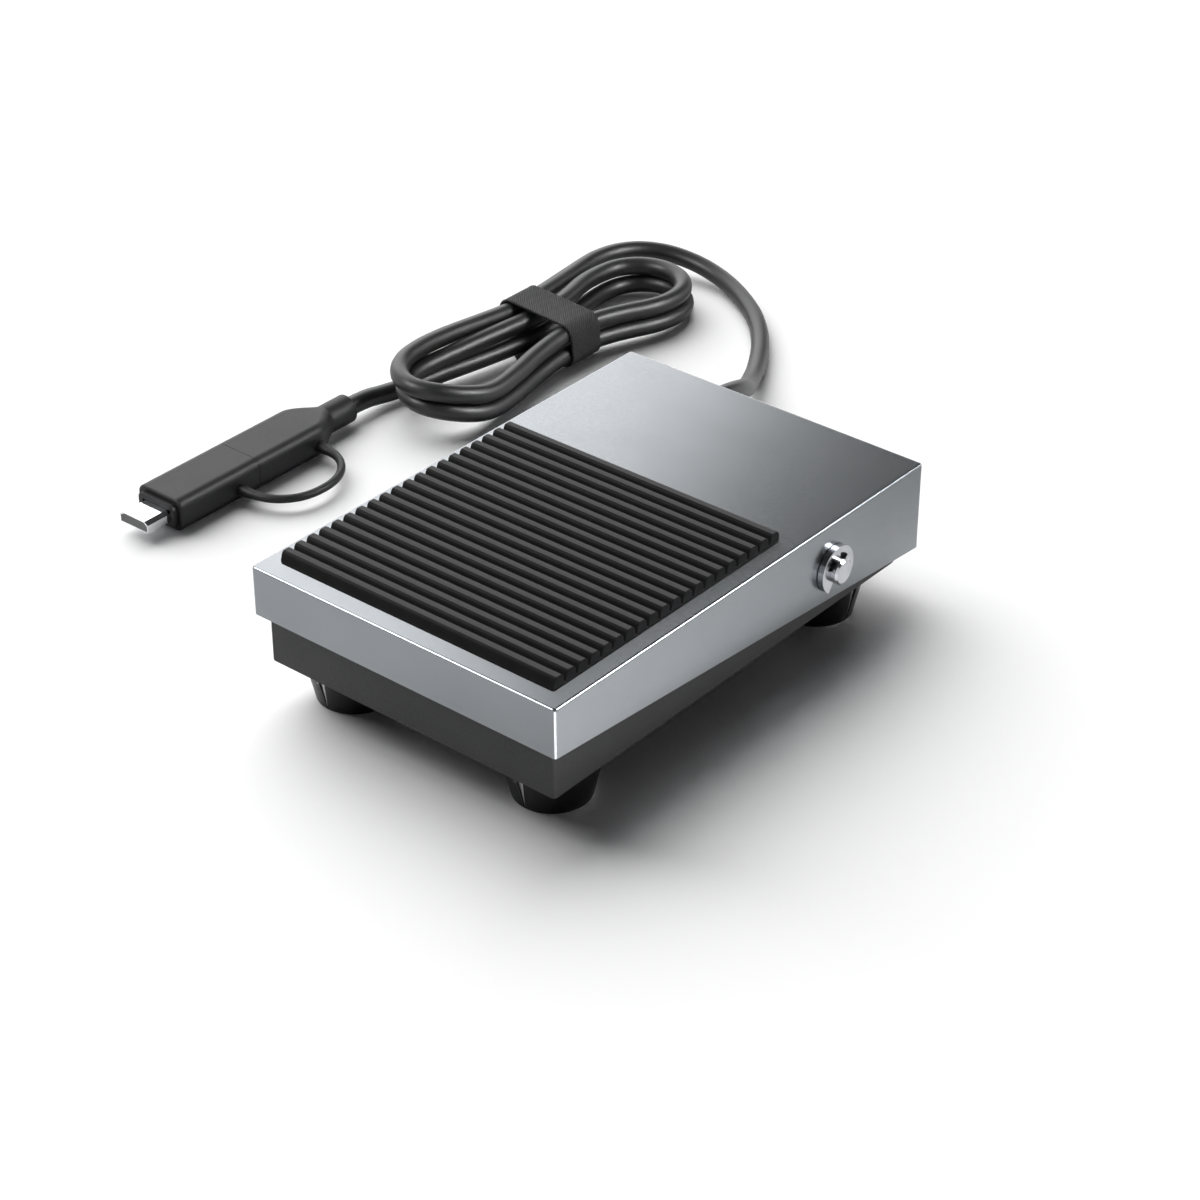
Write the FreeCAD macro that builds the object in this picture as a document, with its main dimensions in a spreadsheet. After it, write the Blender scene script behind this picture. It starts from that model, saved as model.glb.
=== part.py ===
import FreeCAD, Part
import Sketcher
import math
import os
import re

# Foot pedal switch: a steel treadle on a pivot pin over a moulded base, with its cable, hank and plug.
# Millimetres, +Z up. X = 0 is mid-width, Y = 0 mid-length of the treadle, toe edge at -Y, Z = 0 the floor.

Vector = FreeCAD.Vector
os.makedirs("parts", exist_ok=True)
doc = FreeCAD.newDocument("foot_pedal_switch")
sheet = doc.addObject("Spreadsheet::Sheet", "Dims")

dimensions = {
    # Treadle shell
    "treadle_width": 70.0,
    "treadle_length": 105.2,
    "plate_top": 28.2,
    "sheet_metal": 1.2,
    "skirt_front": 9.84,
    "skirt_rear": 18.1,
    "corner_round": 0.7,
    "edge_round": 0.5,
    "notch_margin": 1.6,
    # Pivot
    "pin_inset": 27.95,
    "pin_z": 18.8,
    "pin_radius": 2.5,
    "pin_out": 2.7,
    "pin_chamfer": 0.35,
    "groove_radius": 1.95,
    "fit": 0.05,
    "clip_thick": 1.15,
    "clip_radius": 4.7,
    "clip_recess": 3.4,
    "clip_mouth": 86.0,
    "clip_end_land": 1.4,
    "clip_turn": -82.0,
    "clip_recess_sweep": 46.0,
    "clip_recess_start": 116.0,
    "bush_radius": 3.5,
    "bush_flange_radius": 4.6,
    "bush_flange": 0.5,
    "boss_depth": 4.0,
    "boss_radius": 5.2,
    # Base tray
    "base_inset": 1.8,
    "base_rear_inset": 4.9,
    "foot_height": 8.23,
    "floor_thick": 2.0,
    "wall": 2.2,
    "wall_top": 19.5,
    "base_corner": 0.8,
    "base_edge": 0.35,
    "cheek_half": 8.0,
    "cheek_slope": 7.0,
    # Feet
    "foot_side_inset": 9.85,
    "foot_front_inset": 10.9,
    "foot_rear_inset": 11.4,
    "foot_bottom_radius": 7.24,
    "foot_top_radius": 9.04,
    "foot_recess_radius": 3.5,
    "foot_recess_depth": 4.0,
    "nick_wide": 1.9,
    "nick_deep": 0.55,
    "screw_radius": 1.45,
    "screw_head_radius": 2.8,
    "screw_head": 1.9,
    "slot_wide": 0.8,
    "slot_deep": 0.9,
    "foot_boss_radius": 3.5,
    "foot_boss_high": 2.9,
    "slot_reach": 0.62,
    # Tread pad
    "pad_side": 3.5,
    "pad_front": 3.8,
    "pad_sheet": 0.45,
    "glue": 0.15,
    "glue_inset": 0.45,
    "rib_count": 20,
    "rib_pitch": 3.1,
    "rib_wide": 2.65,
    "rib_high": 1.95,
    "rib_lean": 0.34,
    "rib_front_run": 0.82,
    "rib_front_drop": 0.53,
    "rib_front_radius": 0.9,
    "rib_back_run": 0.8,
    "rib_back_drop": 1.2,
    "rib_back_radius": 1.05,
    "rib_inset": 0.1,
    "rib_margin": 0.1,
    # Return spring
    "spring_radius": 6.5,
    "spring_wire": 0.55,
    "spring_turns": 6,
    "spring_steps": 12,
    "spring_seat_gap": 0.1,
    "post_radius": 5.3,
    "post_high": 4.2,
    "guide_disc": 1.0,
    "guide_disc_radius": 9.0,
    "guide_high": 3.0,
    # Stops
    "stop_x": 10.0,
    "down_stop_inset": 6.8,
    "stop_post_radius": 3.0,
    "stop_cap_radius": 3.3,
    "down_post_high": 8.2,
    "down_cap_high": 2.8,
    "rest_inset": 5.7,
    "rest_post_high": 12.8,
    "rest_gap": 0.15,
    # Ballast
    "ballast_side_gap": 0.85,
    "ballast_front_inset": 12.3,
    "ballast_rear_gap": 3.4,
    "ballast_thick": 3.0,
    "ballast_hole": 7.75,
    "ballast_screw_inset": 4.3,
    "ballast_boss_radius": 2.6,
    "ballast_boss_gap": 0.3,
    # Switch
    "switch_x": 14.0,
    "switch_front": -8.4,
    "switch_length": 12.8,
    "switch_thick": 5.8,
    "switch_bottom": 13.4,
    "switch_case_high": 3.0,
    "switch_high": 6.5,
    "switch_wall": 1.0,
    "well_front": 4.0,
    "well_length": 5.0,
    "switch_hole_inset": 2.4,
    "switch_screw_radius": 0.95,
    "switch_screw_head_radius": 1.7,
    "switch_screw_head": 1.1,
    "switch_screw_high": 4.75,
    "plunger_y": -1.0,
    "plunger_travel": 0.95,
    "plunger_radius": 0.85,
    "plunger_fit": 0.08,
    "lever_y": 3.2,
    "lever_z": 20.75,
    "lever_length": 15.4,
    "lever_thick": 0.3,
    "lever_width": 3.8,
    "lever_angle": 10.0,
    "lever_gap": 0.15,
    "ear_thick": 0.6,
    "terminal_wide": 2.4,
    "terminal_thick": 0.5,
    "terminal_low": 2.5,
    "terminal_pitch": 4.5,
    "blade_thick": 0.25,
    "blade_lift": 0.3,
    "bracket_wall": 1.8,
    "hinge_wire": 0.25,
    "ear_half": 0.9,
    "ear_over": 0.6,
    "ear_under": 0.5,
    "blade_half": 1.0,
    "blade_end_gap": 0.3,
    "blade_foot": 0.5,
    "wire_stub": 3.4,
    "wire_pad_pitch": 2.6,
    "wire_pad_shift": -1.4,
    "wire_rise": 2.4,
    "wire_arrive": 3.6,
    "wire_inset": 1.9,
    # Striker
    "striker_y": -10.6,
    "bracket_thick": 1.2,
    "bracket_half": 4.0,
    "bracket_length": 9.0,
    "actuator_radius": 1.5,
    "nut_across": 5.5,
    "nut_high": 1.8,
    "thread_fit": 0.04,
    # Circuit board
    "board_side_gap": 3.0,
    "board_length": 30.0,
    "board_front": -9.6,
    "board_rear": 12.4,
    "board_under": 12.4,
    "board_thick": 1.6,
    "board_inset": 2.5,
    "board_boss_radius": 2.4,
    "board_screw_radius": 1.0,
    "board_screw_head_radius": 2.0,
    "board_screw_head": 1.4,
    "chip_inset": 15.0,
    "chip_y": -3.0,
    "chip_length": 9.9,
    "chip_wide": 3.9,
    "chip_high": 1.5,
    "leg_pitch": 1.27,
    "leg_count": 7,
    "leg_out": 1.0,
    "leg_wide": 0.42,
    "leg_thick": 0.2,
    "crystal_inset": 5.0,
    "crystal_y": -1.0,
    "crystal_length": 8.0,
    "crystal_wide": 4.0,
    "crystal_high": 3.2,
    "capacitor_radius": 2.0,
    "capacitor_high": 4.6,
    "socket_inset": 9.8,
    "socket_wide": 10.4,
    "socket_front": 5.6,
    "socket_length": 6.6,
    "socket_high": 3.4,
    "socket_wall": 0.6,
    "housing_length": 8.0,
    "inner_fit": 0.1,
    "wire_radius": 0.5,
    "wire_pitch": 2.0,
    "wire_z": 15.25,
    "wire_spread": 0.75,
    # Cable exit
    "cord_radius": 2.0,
    "exit_inset": 4.0,
    "exit_z": 15.5,
    "boot_out": 12.3,
    "boot_base_radius": 3.75,
    "boot_tip_radius": 2.75,
    "gland_flange": 1.4,
    "gland_flange_radius": 4.7,
    "gland_fit": 0.04,
    "jacket_ahead": 7.85,
    "clamp_gap": 0.55,
    "clamp_half_length": 1.7,
    "clamp_reach": 4.75,
    "clamp_over": 1.4,
    "clamp_end": 2.1,
    "saddle_half": 1.3,
    # Plug and adapter
    "plug_x": -93.6,
    "plug_z": 3.55,
    "plug_wide": 12.1,
    "plug_high": 7.06,
    "plug_round": 1.9,
    "plug_full": 17.4,
    "plug_taper": 7.0,
    "neck_radius": 3.1,
    "plug_rear": 31.4,
    "adapter_front": -21.6,
    "seam_gap": 0.1,
    "collar_wide": 10.0,
    "collar_high": 4.9,
    "collar_out": 1.0,
    "tip_wide": 7.85,
    "tip_high": 2.4,
    "tip_out": 6.0,
    "tip_wall": 0.22,
    "tip_chamfer_wide": 0.95,
    "tip_chamfer_high": 0.62,
    "tip_root": 3.0,
    "tongue_high": 0.7,
    "tongue_gap": 0.35,
    "pin_count": 5,
    "pin_pitch": 1.15,
    "pin_wide": 0.5,
    "pin_thick": 0.15,
    "inner_wide": 8.2,
    "inner_high": 2.4,
    "inner_out": 6.4,
    "inner_root": 5.0,
    "inner_wall": 0.3,
    "socket_lining": 0.3,
    "slide_fit": 0.06,
    "inner_tongue_high": 0.8,
    "neck_chamfer": 0.3,
    "core_recess": 0.4,
    "adapter_round": 0.4,
    "inner_tongue_end": 2.2,
    "inner_tongue_margin": 1.3,
    "lining_end": 1.1,
    "lining_front_wall": 0.6,
    "lining_recess": 0.3,
    "tongue_margin": 0.8,
    "tongue_recess": 0.6,
    "face_recess": 0.1,
    "tongue_root_gap": 0.3,
    "contact_recess": 0.9,
    "contact_root_gap": 0.2,
    # Tether
    "tether_radius": 0.85,
    "tether_z": 2.8,
    "tether_front_y": -5.5,
    "tether_rear_y": 17.0,
    "tether_reach": 12.3,
    # Hank and strap
    "strap_y": 78.9,
    "strap_wide": 9.3,
    "strap_thick": 0.6,
    "strap_slack": 0.3,
}

# Places that follow from those sizes
places = {
    "base_half": "treadle_width / 2 - base_inset",
    "base_front": "-treadle_length / 2 + base_inset",
    "base_rear": "treadle_length / 2 - base_rear_inset",
    "pin_y": "treadle_length / 2 - pin_inset",
    "pad_width": "treadle_width - 2 * pad_side",
    "foot_x": "base_half - foot_side_inset",
    "foot_front_y": "base_front + foot_front_inset",
    "foot_rear_y": "base_rear - foot_rear_inset",
    "down_stop_y": "base_front + down_stop_inset",
    "rest_y": "base_rear - rest_inset",
    "ballast_x": "foot_x - foot_boss_radius - ballast_side_gap",
    "ballast_front": "base_front + ballast_front_inset",
    "ballast_rear": "board_front - ballast_rear_gap",
    "ballast_screw_x": "ballast_x - ballast_screw_inset",
    "spring_y": "(ballast_front + ballast_rear) / 2",
    "board_left": "wall + board_side_gap - base_half",
    "board_right": "board_left + board_length",
    "chip_x": "board_left + chip_inset",
    "crystal_x": "board_left + crystal_inset",
    "socket_x": "board_left + socket_inset",
    "exit_x": "board_left + exit_inset",
    "clamp_y": "base_rear - wall - gland_flange - clamp_gap - clamp_half_length",
    "jacket_end": "clamp_y - jacket_ahead",
}

for row, (alias, number) in enumerate(dimensions.items(), 1):
    sheet.set("A%d" % row, alias.replace("_", " "))
    sheet.set("B%d" % row, str(number))
    sheet.setAlias("B%d" % row, alias)
doc.recompute()

solids = {}


# Helpers: formulas read from the sheet, sketches, features and groups

def formula(text):
    def named(match):
        word = match.group()
        if word in places:
            return "(%s)" % formula(places[word])
        return "Dims." + word if word in dimensions else word
    return re.sub(r"[a-z][a-z_]*[a-z]", named, str(text))


def size(text):
    return float(sheet.evalExpression(formula(text)))


def bind(thing, **formulas):
    for name, text in formulas.items():
        thing.setExpression(name.replace("__", "."), formula(text))
    return thing


def body(label):
    owner = doc.addObject("PartDesign::Body", label)
    owner.Label = label
    solids[label] = owner
    return owner


def register(label, thing):
    thing.Label = label
    solids[label] = thing
    return thing


def origin_item(owner, role):
    return [item for item in owner.Origin.OriginFeatures if item.Role == role][0]


def block(owner, x, y, z, cut=False):
    kind = "PartDesign::SubtractiveBox" if cut else "PartDesign::AdditiveBox"
    box = owner.newObject(kind, owner.Label + "_block")
    bind(box, Length="(%s) - (%s)" % (x[1], x[0]), Width="(%s) - (%s)" % (y[1], y[0]),
         Height="(%s) - (%s)" % (z[1], z[0]))
    bind(box, Placement__Base__x=x[0], Placement__Base__y=y[0], Placement__Base__z=z[0])
    return box


TURNS = {
    "x": FreeCAD.Rotation(Vector(0, 1, 0), 90),
    "y": FreeCAD.Rotation(Vector(1, 0, 0), -90),
    "z": FreeCAD.Rotation(),
}


def place_along(thing, axis, first, second, low):
    thing.Placement = FreeCAD.Placement(Vector(), TURNS[axis])
    order = {"x": (low, first, second), "y": (first, low, second), "z": (first, second, low)}
    x, y, z = order[axis]
    bind(thing, Placement__Base__x=x, Placement__Base__y=y, Placement__Base__z=z)


def rod(owner, axis, first, second, radius, span, cut=False):
    kind = "PartDesign::SubtractiveCylinder" if cut else "PartDesign::AdditiveCylinder"
    rod_part = owner.newObject(kind, owner.Label + "_rod")
    bind(rod_part, Radius=radius, Height="(%s) - (%s)" % (span[1], span[0]))
    place_along(rod_part, axis, first, second, span[0])
    return rod_part


def cone(owner, axis, first, second, low_radius, high_radius, span, cut=False):
    kind = "PartDesign::SubtractiveCone" if cut else "PartDesign::AdditiveCone"
    part = owner.newObject(kind, owner.Label + "_cone")
    bind(part, Radius1=low_radius, Radius2=high_radius, Height="(%s) - (%s)" % (span[1], span[0]))
    place_along(part, axis, first, second, span[0])
    return part


def sketch_on(owner, role, level=None):
    sketch = owner.newObject("Sketcher::SketchObject", owner.Label + "_sketch")
    sketch.AttachmentSupport = (origin_item(owner, role), [""])
    sketch.MapMode = "FlatFace"
    if level is not None:
        bind(sketch, AttachmentOffset__Base__z=level)
    return sketch


def tie(sketch, vertex, corner):
    for kind, text in zip(("DistanceX", "DistanceY"), corner):
        number = sketch.addConstraint(Sketcher.Constraint(kind, -1, 1, vertex[0], vertex[1], size(text)))
        sketch.setExpression("Constraints[%d]" % number, formula(text))


def outline(sketch, corners, arcs=None):
    # A closed outline: each corner is tied to the origin by two formulas. arcs gives the side number,
    # its radius formula and 1 or -1 for the side on which the centre lies (1 is left of the walk).
    arcs = arcs or {}
    spots = [Vector(size(a), size(b), 0) for a, b in corners]
    ends = []
    for index, spot in enumerate(spots):
        other = spots[(index + 1) % len(spots)]
        if index in arcs:
            text, side = arcs[index]
            radius = size(text)
            half = (other - spot) * 0.5
            rise = math.sqrt(radius ** 2 - half.Length ** 2)
            left = Vector(-half.y, half.x, 0).normalize()
            centre = spot + half + left * (rise * side)
            first, last = (spot, other) if side > 0 else (other, spot)
            start = math.atan2(first.y - centre.y, first.x - centre.x)
            stop = math.atan2(last.y - centre.y, last.x - centre.x)
            circle = Part.Circle(centre, Vector(0, 0, 1), radius)
            number = sketch.addGeometry(Part.ArcOfCircle(circle, start, stop), False)
            ends.append((number, 1, 2) if side > 0 else (number, 2, 1))
        else:
            number = sketch.addGeometry(Part.LineSegment(spot, other), False)
            ends.append((number, 1, 2))
    for index, (number, start, stop) in enumerate(ends):
        following = ends[(index + 1) % len(ends)]
        sketch.addConstraint(Sketcher.Constraint("Coincident", number, stop, following[0], following[1]))
    for index, (number, start, stop) in enumerate(ends):
        tie(sketch, (number, start), corners[index])
        if index in arcs:
            text = arcs[index][0]
            item = sketch.addConstraint(Sketcher.Constraint("Radius", number, size(text)))
            sketch.setExpression("Constraints[%d]" % item, formula(text))
    return sketch


def rectangle(sketch, x, y):
    return outline(sketch, [(x[0], y[0]), (x[1], y[0]), (x[1], y[1]), (x[0], y[1])])


def pad(owner, sketch, length, both_ways=False):
    feature = owner.newObject("PartDesign::Pad", owner.Label + "_pad")
    feature.Profile = sketch
    bind(feature, Length=length)
    if both_ways:
        feature.SideType = "Symmetric"
    return feature


def pocket(owner, sketch, length, both_ways=False, upward=False):
    doc.recompute()
    before = owner.Shape.Volume
    feature = owner.newObject("PartDesign::Pocket", owner.Label + "_pocket")
    feature.Profile = sketch
    bind(feature, Length=length)
    feature.Reversed = upward
    if both_ways:
        feature.SideType = "Symmetric"
    doc.recompute()
    if owner.Shape.Volume >= before:
        raise RuntimeError(owner.Label + ": a pocket cuts nothing")
    return feature


def edge_names(shape, chosen):
    return ["Edge%d" % (number + 1) for number, edge in enumerate(shape.Edges) if chosen(edge)]


def fillet(owner, radius, chosen):
    doc.recompute()
    tip = owner.Tip
    names = edge_names(tip.Shape, chosen)
    feature = owner.newObject("PartDesign::Fillet", owner.Label + "_fillet")
    feature.Base = (tip, names)
    bind(feature, Radius=radius)
    return feature


def chamfer(owner, length, chosen):
    doc.recompute()
    tip = owner.Tip
    names = edge_names(tip.Shape, chosen)
    feature = owner.newObject("PartDesign::Chamfer", owner.Label + "_chamfer")
    feature.Base = (tip, names)
    bind(feature, Size=length)
    return feature


def near(first, second):
    return abs(first - second) < 1e-4


def vertical(edge):
    box = edge.BoundBox
    return box.XLength < 1e-6 and box.YLength < 1e-6


def upright_corners(x_reach, y_low, y_high):
    def chosen(edge):
        box = edge.BoundBox
        return vertical(edge) and near(abs(box.Center.x), size(x_reach)) and (
            near(box.Center.y, size(y_low)) or near(box.Center.y, size(y_high)))
    return chosen


def at_level(level):
    def chosen(edge):
        box = edge.BoundBox
        return box.ZLength < 1e-6 and near(box.ZMin, size(level))
    return chosen


def primitive(kind, label, **formulas):
    return bind(doc.addObject("Part::" + kind, label), **formulas)


def round_bar(label, axis, first, second, radius, span):
    bar = primitive("Cylinder", label, Radius=radius, Height="(%s) - (%s)" % (span[1], span[0]))
    place_along(bar, axis, first, second, span[0])
    return bar


def brick(label, x, y, z):
    return primitive("Box", label, Length="(%s) - (%s)" % (x[1], x[0]), Width="(%s) - (%s)" % (y[1], y[0]),
                     Height="(%s) - (%s)" % (z[1], z[0]), Placement__Base__x=x[0],
                     Placement__Base__y=y[0], Placement__Base__z=z[0])


def subtract(label, base, tool):
    cut = doc.addObject("Part::Cut", label)
    cut.Base = base
    cut.Tool = tool
    return cut


def join(label, pieces):
    fused = doc.addObject("Part::MultiFuse", label)
    fused.Shapes = pieces
    return fused


def together(label, pieces):
    held = doc.addObject("Part::Compound", label)
    held.Links = pieces
    return register(label, held)


def screw(label, axis, first, second, head_face, tip, shank, head, head_high):
    # A pan head screw along an axis with a cross recess: the head stands beyond head_face, away from tip
    up = size(head_face) > size(tip)
    top = "(%s) %s (%s)" % (head_face, "+" if up else "-", head_high)
    head_span = (head_face, top) if up else (top, head_face)
    shank_span = (tip, head_face) if up else (head_face, tip)
    solid = join(label + "_blank", [
        round_bar(label + "_shank", axis, first, second, shank, shank_span),
        round_bar(label + "_head", axis, first, second, head, head_span)])
    inner = "(%s) %s slot_deep * (%s) / screw_head" % (top, "-" if up else "+", head_high)
    slot_span = (inner, top) if up else (top, inner)
    reach = "(%s) * slot_reach" % head
    half = "slot_wide / 2 * (%s) / screw_head_radius" % head
    slots = []
    for wide, thin in ((reach, half), (half, reach)):
        first_span = ("(%s) - (%s)" % (first, wide), "(%s) + (%s)" % (first, wide))
        second_span = ("(%s) - (%s)" % (second, thin), "(%s) + (%s)" % (second, thin))
        spans = {"x": (slot_span, first_span, second_span), "y": (first_span, slot_span, second_span),
                 "z": (first_span, second_span, slot_span)}
        slots.append(brick(label + "_slot", *spans[axis]))
    return subtract(label, subtract(label + "_half", solid, slots[0]), slots[1])


# Tubes: straight runs joined by tangent arcs

def tube_path(points):
    # Each arc's radius is 0.45 of the shorter run beside it over the tangent of half the turn
    edges = []
    radii = []
    start = points[0]
    for before, corner, after in zip(points, points[1:], points[2:]):
        arriving = corner - before
        leaving = after - corner
        turn = arriving.getAngle(leaving)
        reach = 0.45 * min(arriving.Length, leaving.Length)
        radius = reach / math.tan(turn / 2)
        radii.append(radius)
        entry = corner - arriving * (reach / arriving.Length)
        leave = corner + leaving * (reach / leaving.Length)
        toward = (entry + leave) * 0.5 - corner
        middle = corner + toward * ((radius / math.cos(turn / 2) - radius) / toward.Length)
        edges.append(Part.LineSegment(start, entry).toShape())
        edges.append(Part.Arc(entry, middle, leave).toShape())
        start = leave
    edges.append(Part.LineSegment(start, points[-1]).toShape())
    return edges, radii


def tube(edges, radius):
    first = edges[0]
    ring = Part.Circle(first.valueAt(first.FirstParameter), first.tangentAt(first.FirstParameter), radius)
    shape = Part.Wire(edges).makePipeShell([Part.Wire([ring.toShape()])], True, False)
    solid = Part.Solid(shape.Shells[0])
    if solid.Volume < 0:
        solid.reverse()
    length = sum(edge.Length for edge in edges)
    if abs(solid.Volume - math.pi * radius ** 2 * length) > 0.005 * solid.Volume:
        raise RuntimeError("a tube's volume is off")
    return solid


def coded(label, shape):
    feature = doc.addObject("Part::Feature", label)
    feature.Shape = shape
    feature.Placement = FreeCAD.Placement()
    return register(label, feature)


def split_line(edge):
    start = edge.valueAt(edge.FirstParameter)
    stop = edge.valueAt(edge.LastParameter)
    middle = (start + stop) * 0.5
    return Part.LineSegment(start, middle).toShape(), Part.LineSegment(middle, stop).toShape()


def least_self_gap(edges, radius):
    # Points every half millimetre or so; pairs closer along the tube than five diameters don't count
    skip = 10 * radius
    points = []
    for edge in edges:
        points += edge.discretize(max(2, int(edge.Length / 0.6) + 1))[:-1]
    along = [0.0]
    for a, b in zip(points, points[1:]):
        along.append(along[-1] + a.distanceToPoint(b))
    least = 1e9
    for i, a in enumerate(points):
        for j in range(i + 1, len(points)):
            if along[j] - along[i] > skip:
                least = min(least, a.distanceToPoint(points[j]))
    return least - 2 * radius


# Treadle: folded steel shell with tapered skirts, pivot holes and a notch for the cable

half_width = "treadle_width / 2"
half_length = "treadle_length / 2"
skirt_low = "plate_top - skirt_rear"
plate_under = "plate_top - sheet_metal"


def treadle_shell():
    owner = body("treadle_shell")
    pad(owner, rectangle(sketch_on(owner, "XY_Plane", skirt_low),
                         ("-" + half_width, half_width), ("-" + half_length, half_length)), "skirt_rear")
    fillet(owner, "corner_round", upright_corners(half_width, "-" + half_length, half_length))
    fillet(owner, "edge_round", at_level("plate_top"))
    inside_x = half_width + " - sheet_metal"
    inside_y = half_length + " - sheet_metal"
    pocket(owner, rectangle(sketch_on(owner, "XY_Plane", skirt_low),
                            ("-(%s)" % inside_x, inside_x), ("-(%s)" % inside_y, inside_y)),
           "skirt_rear - sheet_metal", upward=True)
    slope = outline(sketch_on(owner, "YZ_Plane"), [
        ("-(%s)" % half_length, skirt_low + " - 1"), (half_length, skirt_low + " - 1"),
        (half_length, skirt_low), ("-(%s)" % half_length, "plate_top - skirt_front")])
    pocket(owner, slope, "treadle_width + 2", both_ways=True)
    rod(owner, "x", "pin_y", "pin_z", "pin_radius + fit",
        ("-(%s) - 1" % half_width, half_width + " + 1"), cut=True)
    notch = "gland_flange_radius + notch_margin"
    span = (half_length + " - sheet_metal - 1", half_length + " + 1")
    block(owner, ("exit_x - (%s)" % notch, "exit_x + (%s)" % notch), span,
          (skirt_low + " - 1", "exit_z"), cut=True)
    rod(owner, "y", "exit_x", "exit_z", notch, span, cut=True)


# Tread pad: a rubber sheet with ribs, each with a steep front, a flat crest and a round back

pad_front_y = "-treadle_length / 2 + pad_front"
pad_rear_y = pad_front_y + " + (rib_count - 1) * rib_pitch + rib_wide + 2 * rib_margin"
pad_under = "plate_top + glue"
pad_level = "plate_top + glue + pad_sheet"


def tread_pad():
    glue = body("pad_adhesive")
    block(glue, ("-pad_width / 2 + glue_inset", "pad_width / 2 - glue_inset"),
          (pad_front_y + " + glue_inset", pad_rear_y + " - glue_inset"), ("plate_top", pad_under))
    owner = body("tread_pad")
    block(owner, ("-pad_width / 2", "pad_width / 2"), (pad_front_y, pad_rear_y), (pad_under, pad_level))
    start = pad_front_y + " + rib_margin"
    top = pad_level + " + rib_high"
    profile = outline(sketch_on(owner, "YZ_Plane"), [
        (start, pad_level + " - pad_sheet / 2"),
        (start + " + rib_wide", pad_level + " - pad_sheet / 2"),
        (start + " + rib_wide", top + " - rib_back_drop"),
        (start + " + rib_wide - rib_back_run", top),
        (start + " + rib_front_run", top),
        (start + " + rib_lean", top + " - rib_front_drop")],
        arcs={2: ("rib_back_radius", 1), 4: ("rib_front_radius", 1)})
    rib = pad(owner, profile, "pad_width - 2 * rib_inset", both_ways=True)
    pattern = owner.newObject("PartDesign::LinearPattern", "tread_pad_ribs")
    pattern.Originals = [rib]
    pattern.Direction = (origin_item(owner, "Y_Axis"), [""])
    bind(pattern, Length="(rib_count - 1) * rib_pitch", Occurrences="rib_count")
    owner.Tip = pattern


# Pivot: pin, two spring clips in its grooves, two flanged bushes in the base cheeks

pin_end = half_width + " + pin_out"
clip_low = half_width + " + pin_out - clip_end_land - clip_thick"
clip_high = half_width + " + pin_out - clip_end_land"


def pivot():
    owner = body("pivot_pin")
    rod(owner, "x", "pin_y", "pin_z", "pin_radius", ("-(%s)" % pin_end, pin_end))
    doc.recompute()
    for side in ("", "-"):
        low, high = ("(%s) - fit" % clip_low, "(%s) + fit" % clip_high)
        span = (low, high) if side == "" else ("-(%s)" % high, "-(%s)" % low)
        groove = sketch_on(owner, "YZ_Plane", span[0])
        for radius in ("pin_radius + 1", "groove_radius"):
            number = groove.addGeometry(Part.Circle(Vector(size("pin_y"), size("pin_z"), 0),
                                                    Vector(0, 0, 1), size(radius)), False)
            item = groove.addConstraint(Sketcher.Constraint("Radius", number, size(radius)))
            groove.setExpression("Constraints[%d]" % item, formula(radius))
            tie(groove, (number, 3), ("pin_y", "pin_z"))
        pocket(owner, groove, "clip_thick + 2 * fit", upward=True)
    chamfer(owner, "pin_chamfer", lambda edge: near(abs(edge.BoundBox.Center.x), size(pin_end)))
    clips = []
    for side in ("left", "right"):
        span = (clip_low, clip_high) if side == "right" else ("-(%s)" % clip_high, "-(%s)" % clip_low)
        clips.append(spring_clip("clip_" + side, span))
    together("retaining_clips", clips)
    for side, sign in (("left", "-"), ("right", "")):
        bush = body("pivot_bush_" + side)
        inner = "%s(base_half - boss_depth - wall)" % sign
        face = "%s(base_half)" % sign
        lip = "%s(base_half + bush_flange)" % sign
        spans = [(inner, face), (face, lip), (inner + " - 1", lip + " + 1")]
        if sign:
            spans = [(face, inner), (lip, face), (lip + " - 1", inner + " + 1")]
        rod(bush, "x", "pin_y", "pin_z", "bush_radius", spans[0])
        rod(bush, "x", "pin_y", "pin_z", "bush_flange_radius", spans[1])
        rod(bush, "x", "pin_y", "pin_z", "pin_radius + fit", spans[2], cut=True)


def spring_clip(label, span):
    # An open ring with three prongs that sit in the pin's groove; its mouth opens downward
    wide = ("(%s) - 1" % span[0], "(%s) + 1" % span[1])
    ring = round_bar(label + "_disc", "x", "pin_y", "pin_z", "clip_radius", span)
    blank = subtract(label + "_ring", ring,
                     round_bar(label + "_bore", "x", "pin_y", "pin_z", "groove_radius + fit", wide))
    for name, radius, start, sweep in (
            ("mouth", "clip_radius + 1", "clip_turn - clip_mouth / 2", "clip_mouth"),
            ("rear_recess", "clip_recess", "clip_turn + clip_recess_start", "clip_recess_sweep"),
            ("front_recess", "clip_recess", "clip_turn - clip_recess_start - clip_recess_sweep",
             "clip_recess_sweep")):
        sector = primitive("Cylinder", "%s_%s" % (label, name), Radius=radius,
                           Height="(%s) - (%s)" % (wide[1], wide[0]), Angle=sweep)
        # The sector's own start lies on local X; it is turned so that it starts at this angle from +Y
        sector.Placement = FreeCAD.Placement(
            Vector(size(wide[0]), size("pin_y"), size("pin_z")),
            FreeCAD.Rotation(Vector(1, 0, 0), size(start)) * FreeCAD.Rotation(
                Vector(0, 1, 0), Vector(0, 0, 1), Vector(1, 0, 0), "XYZ"))
        bind(sector, Placement__Base__x=wide[0], Placement__Base__y="pin_y", Placement__Base__z="pin_z")
        blank = subtract("%s_%s_cut" % (label, name), blank, sector)
    return blank


# Base: moulded tray on four rubber feet

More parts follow.
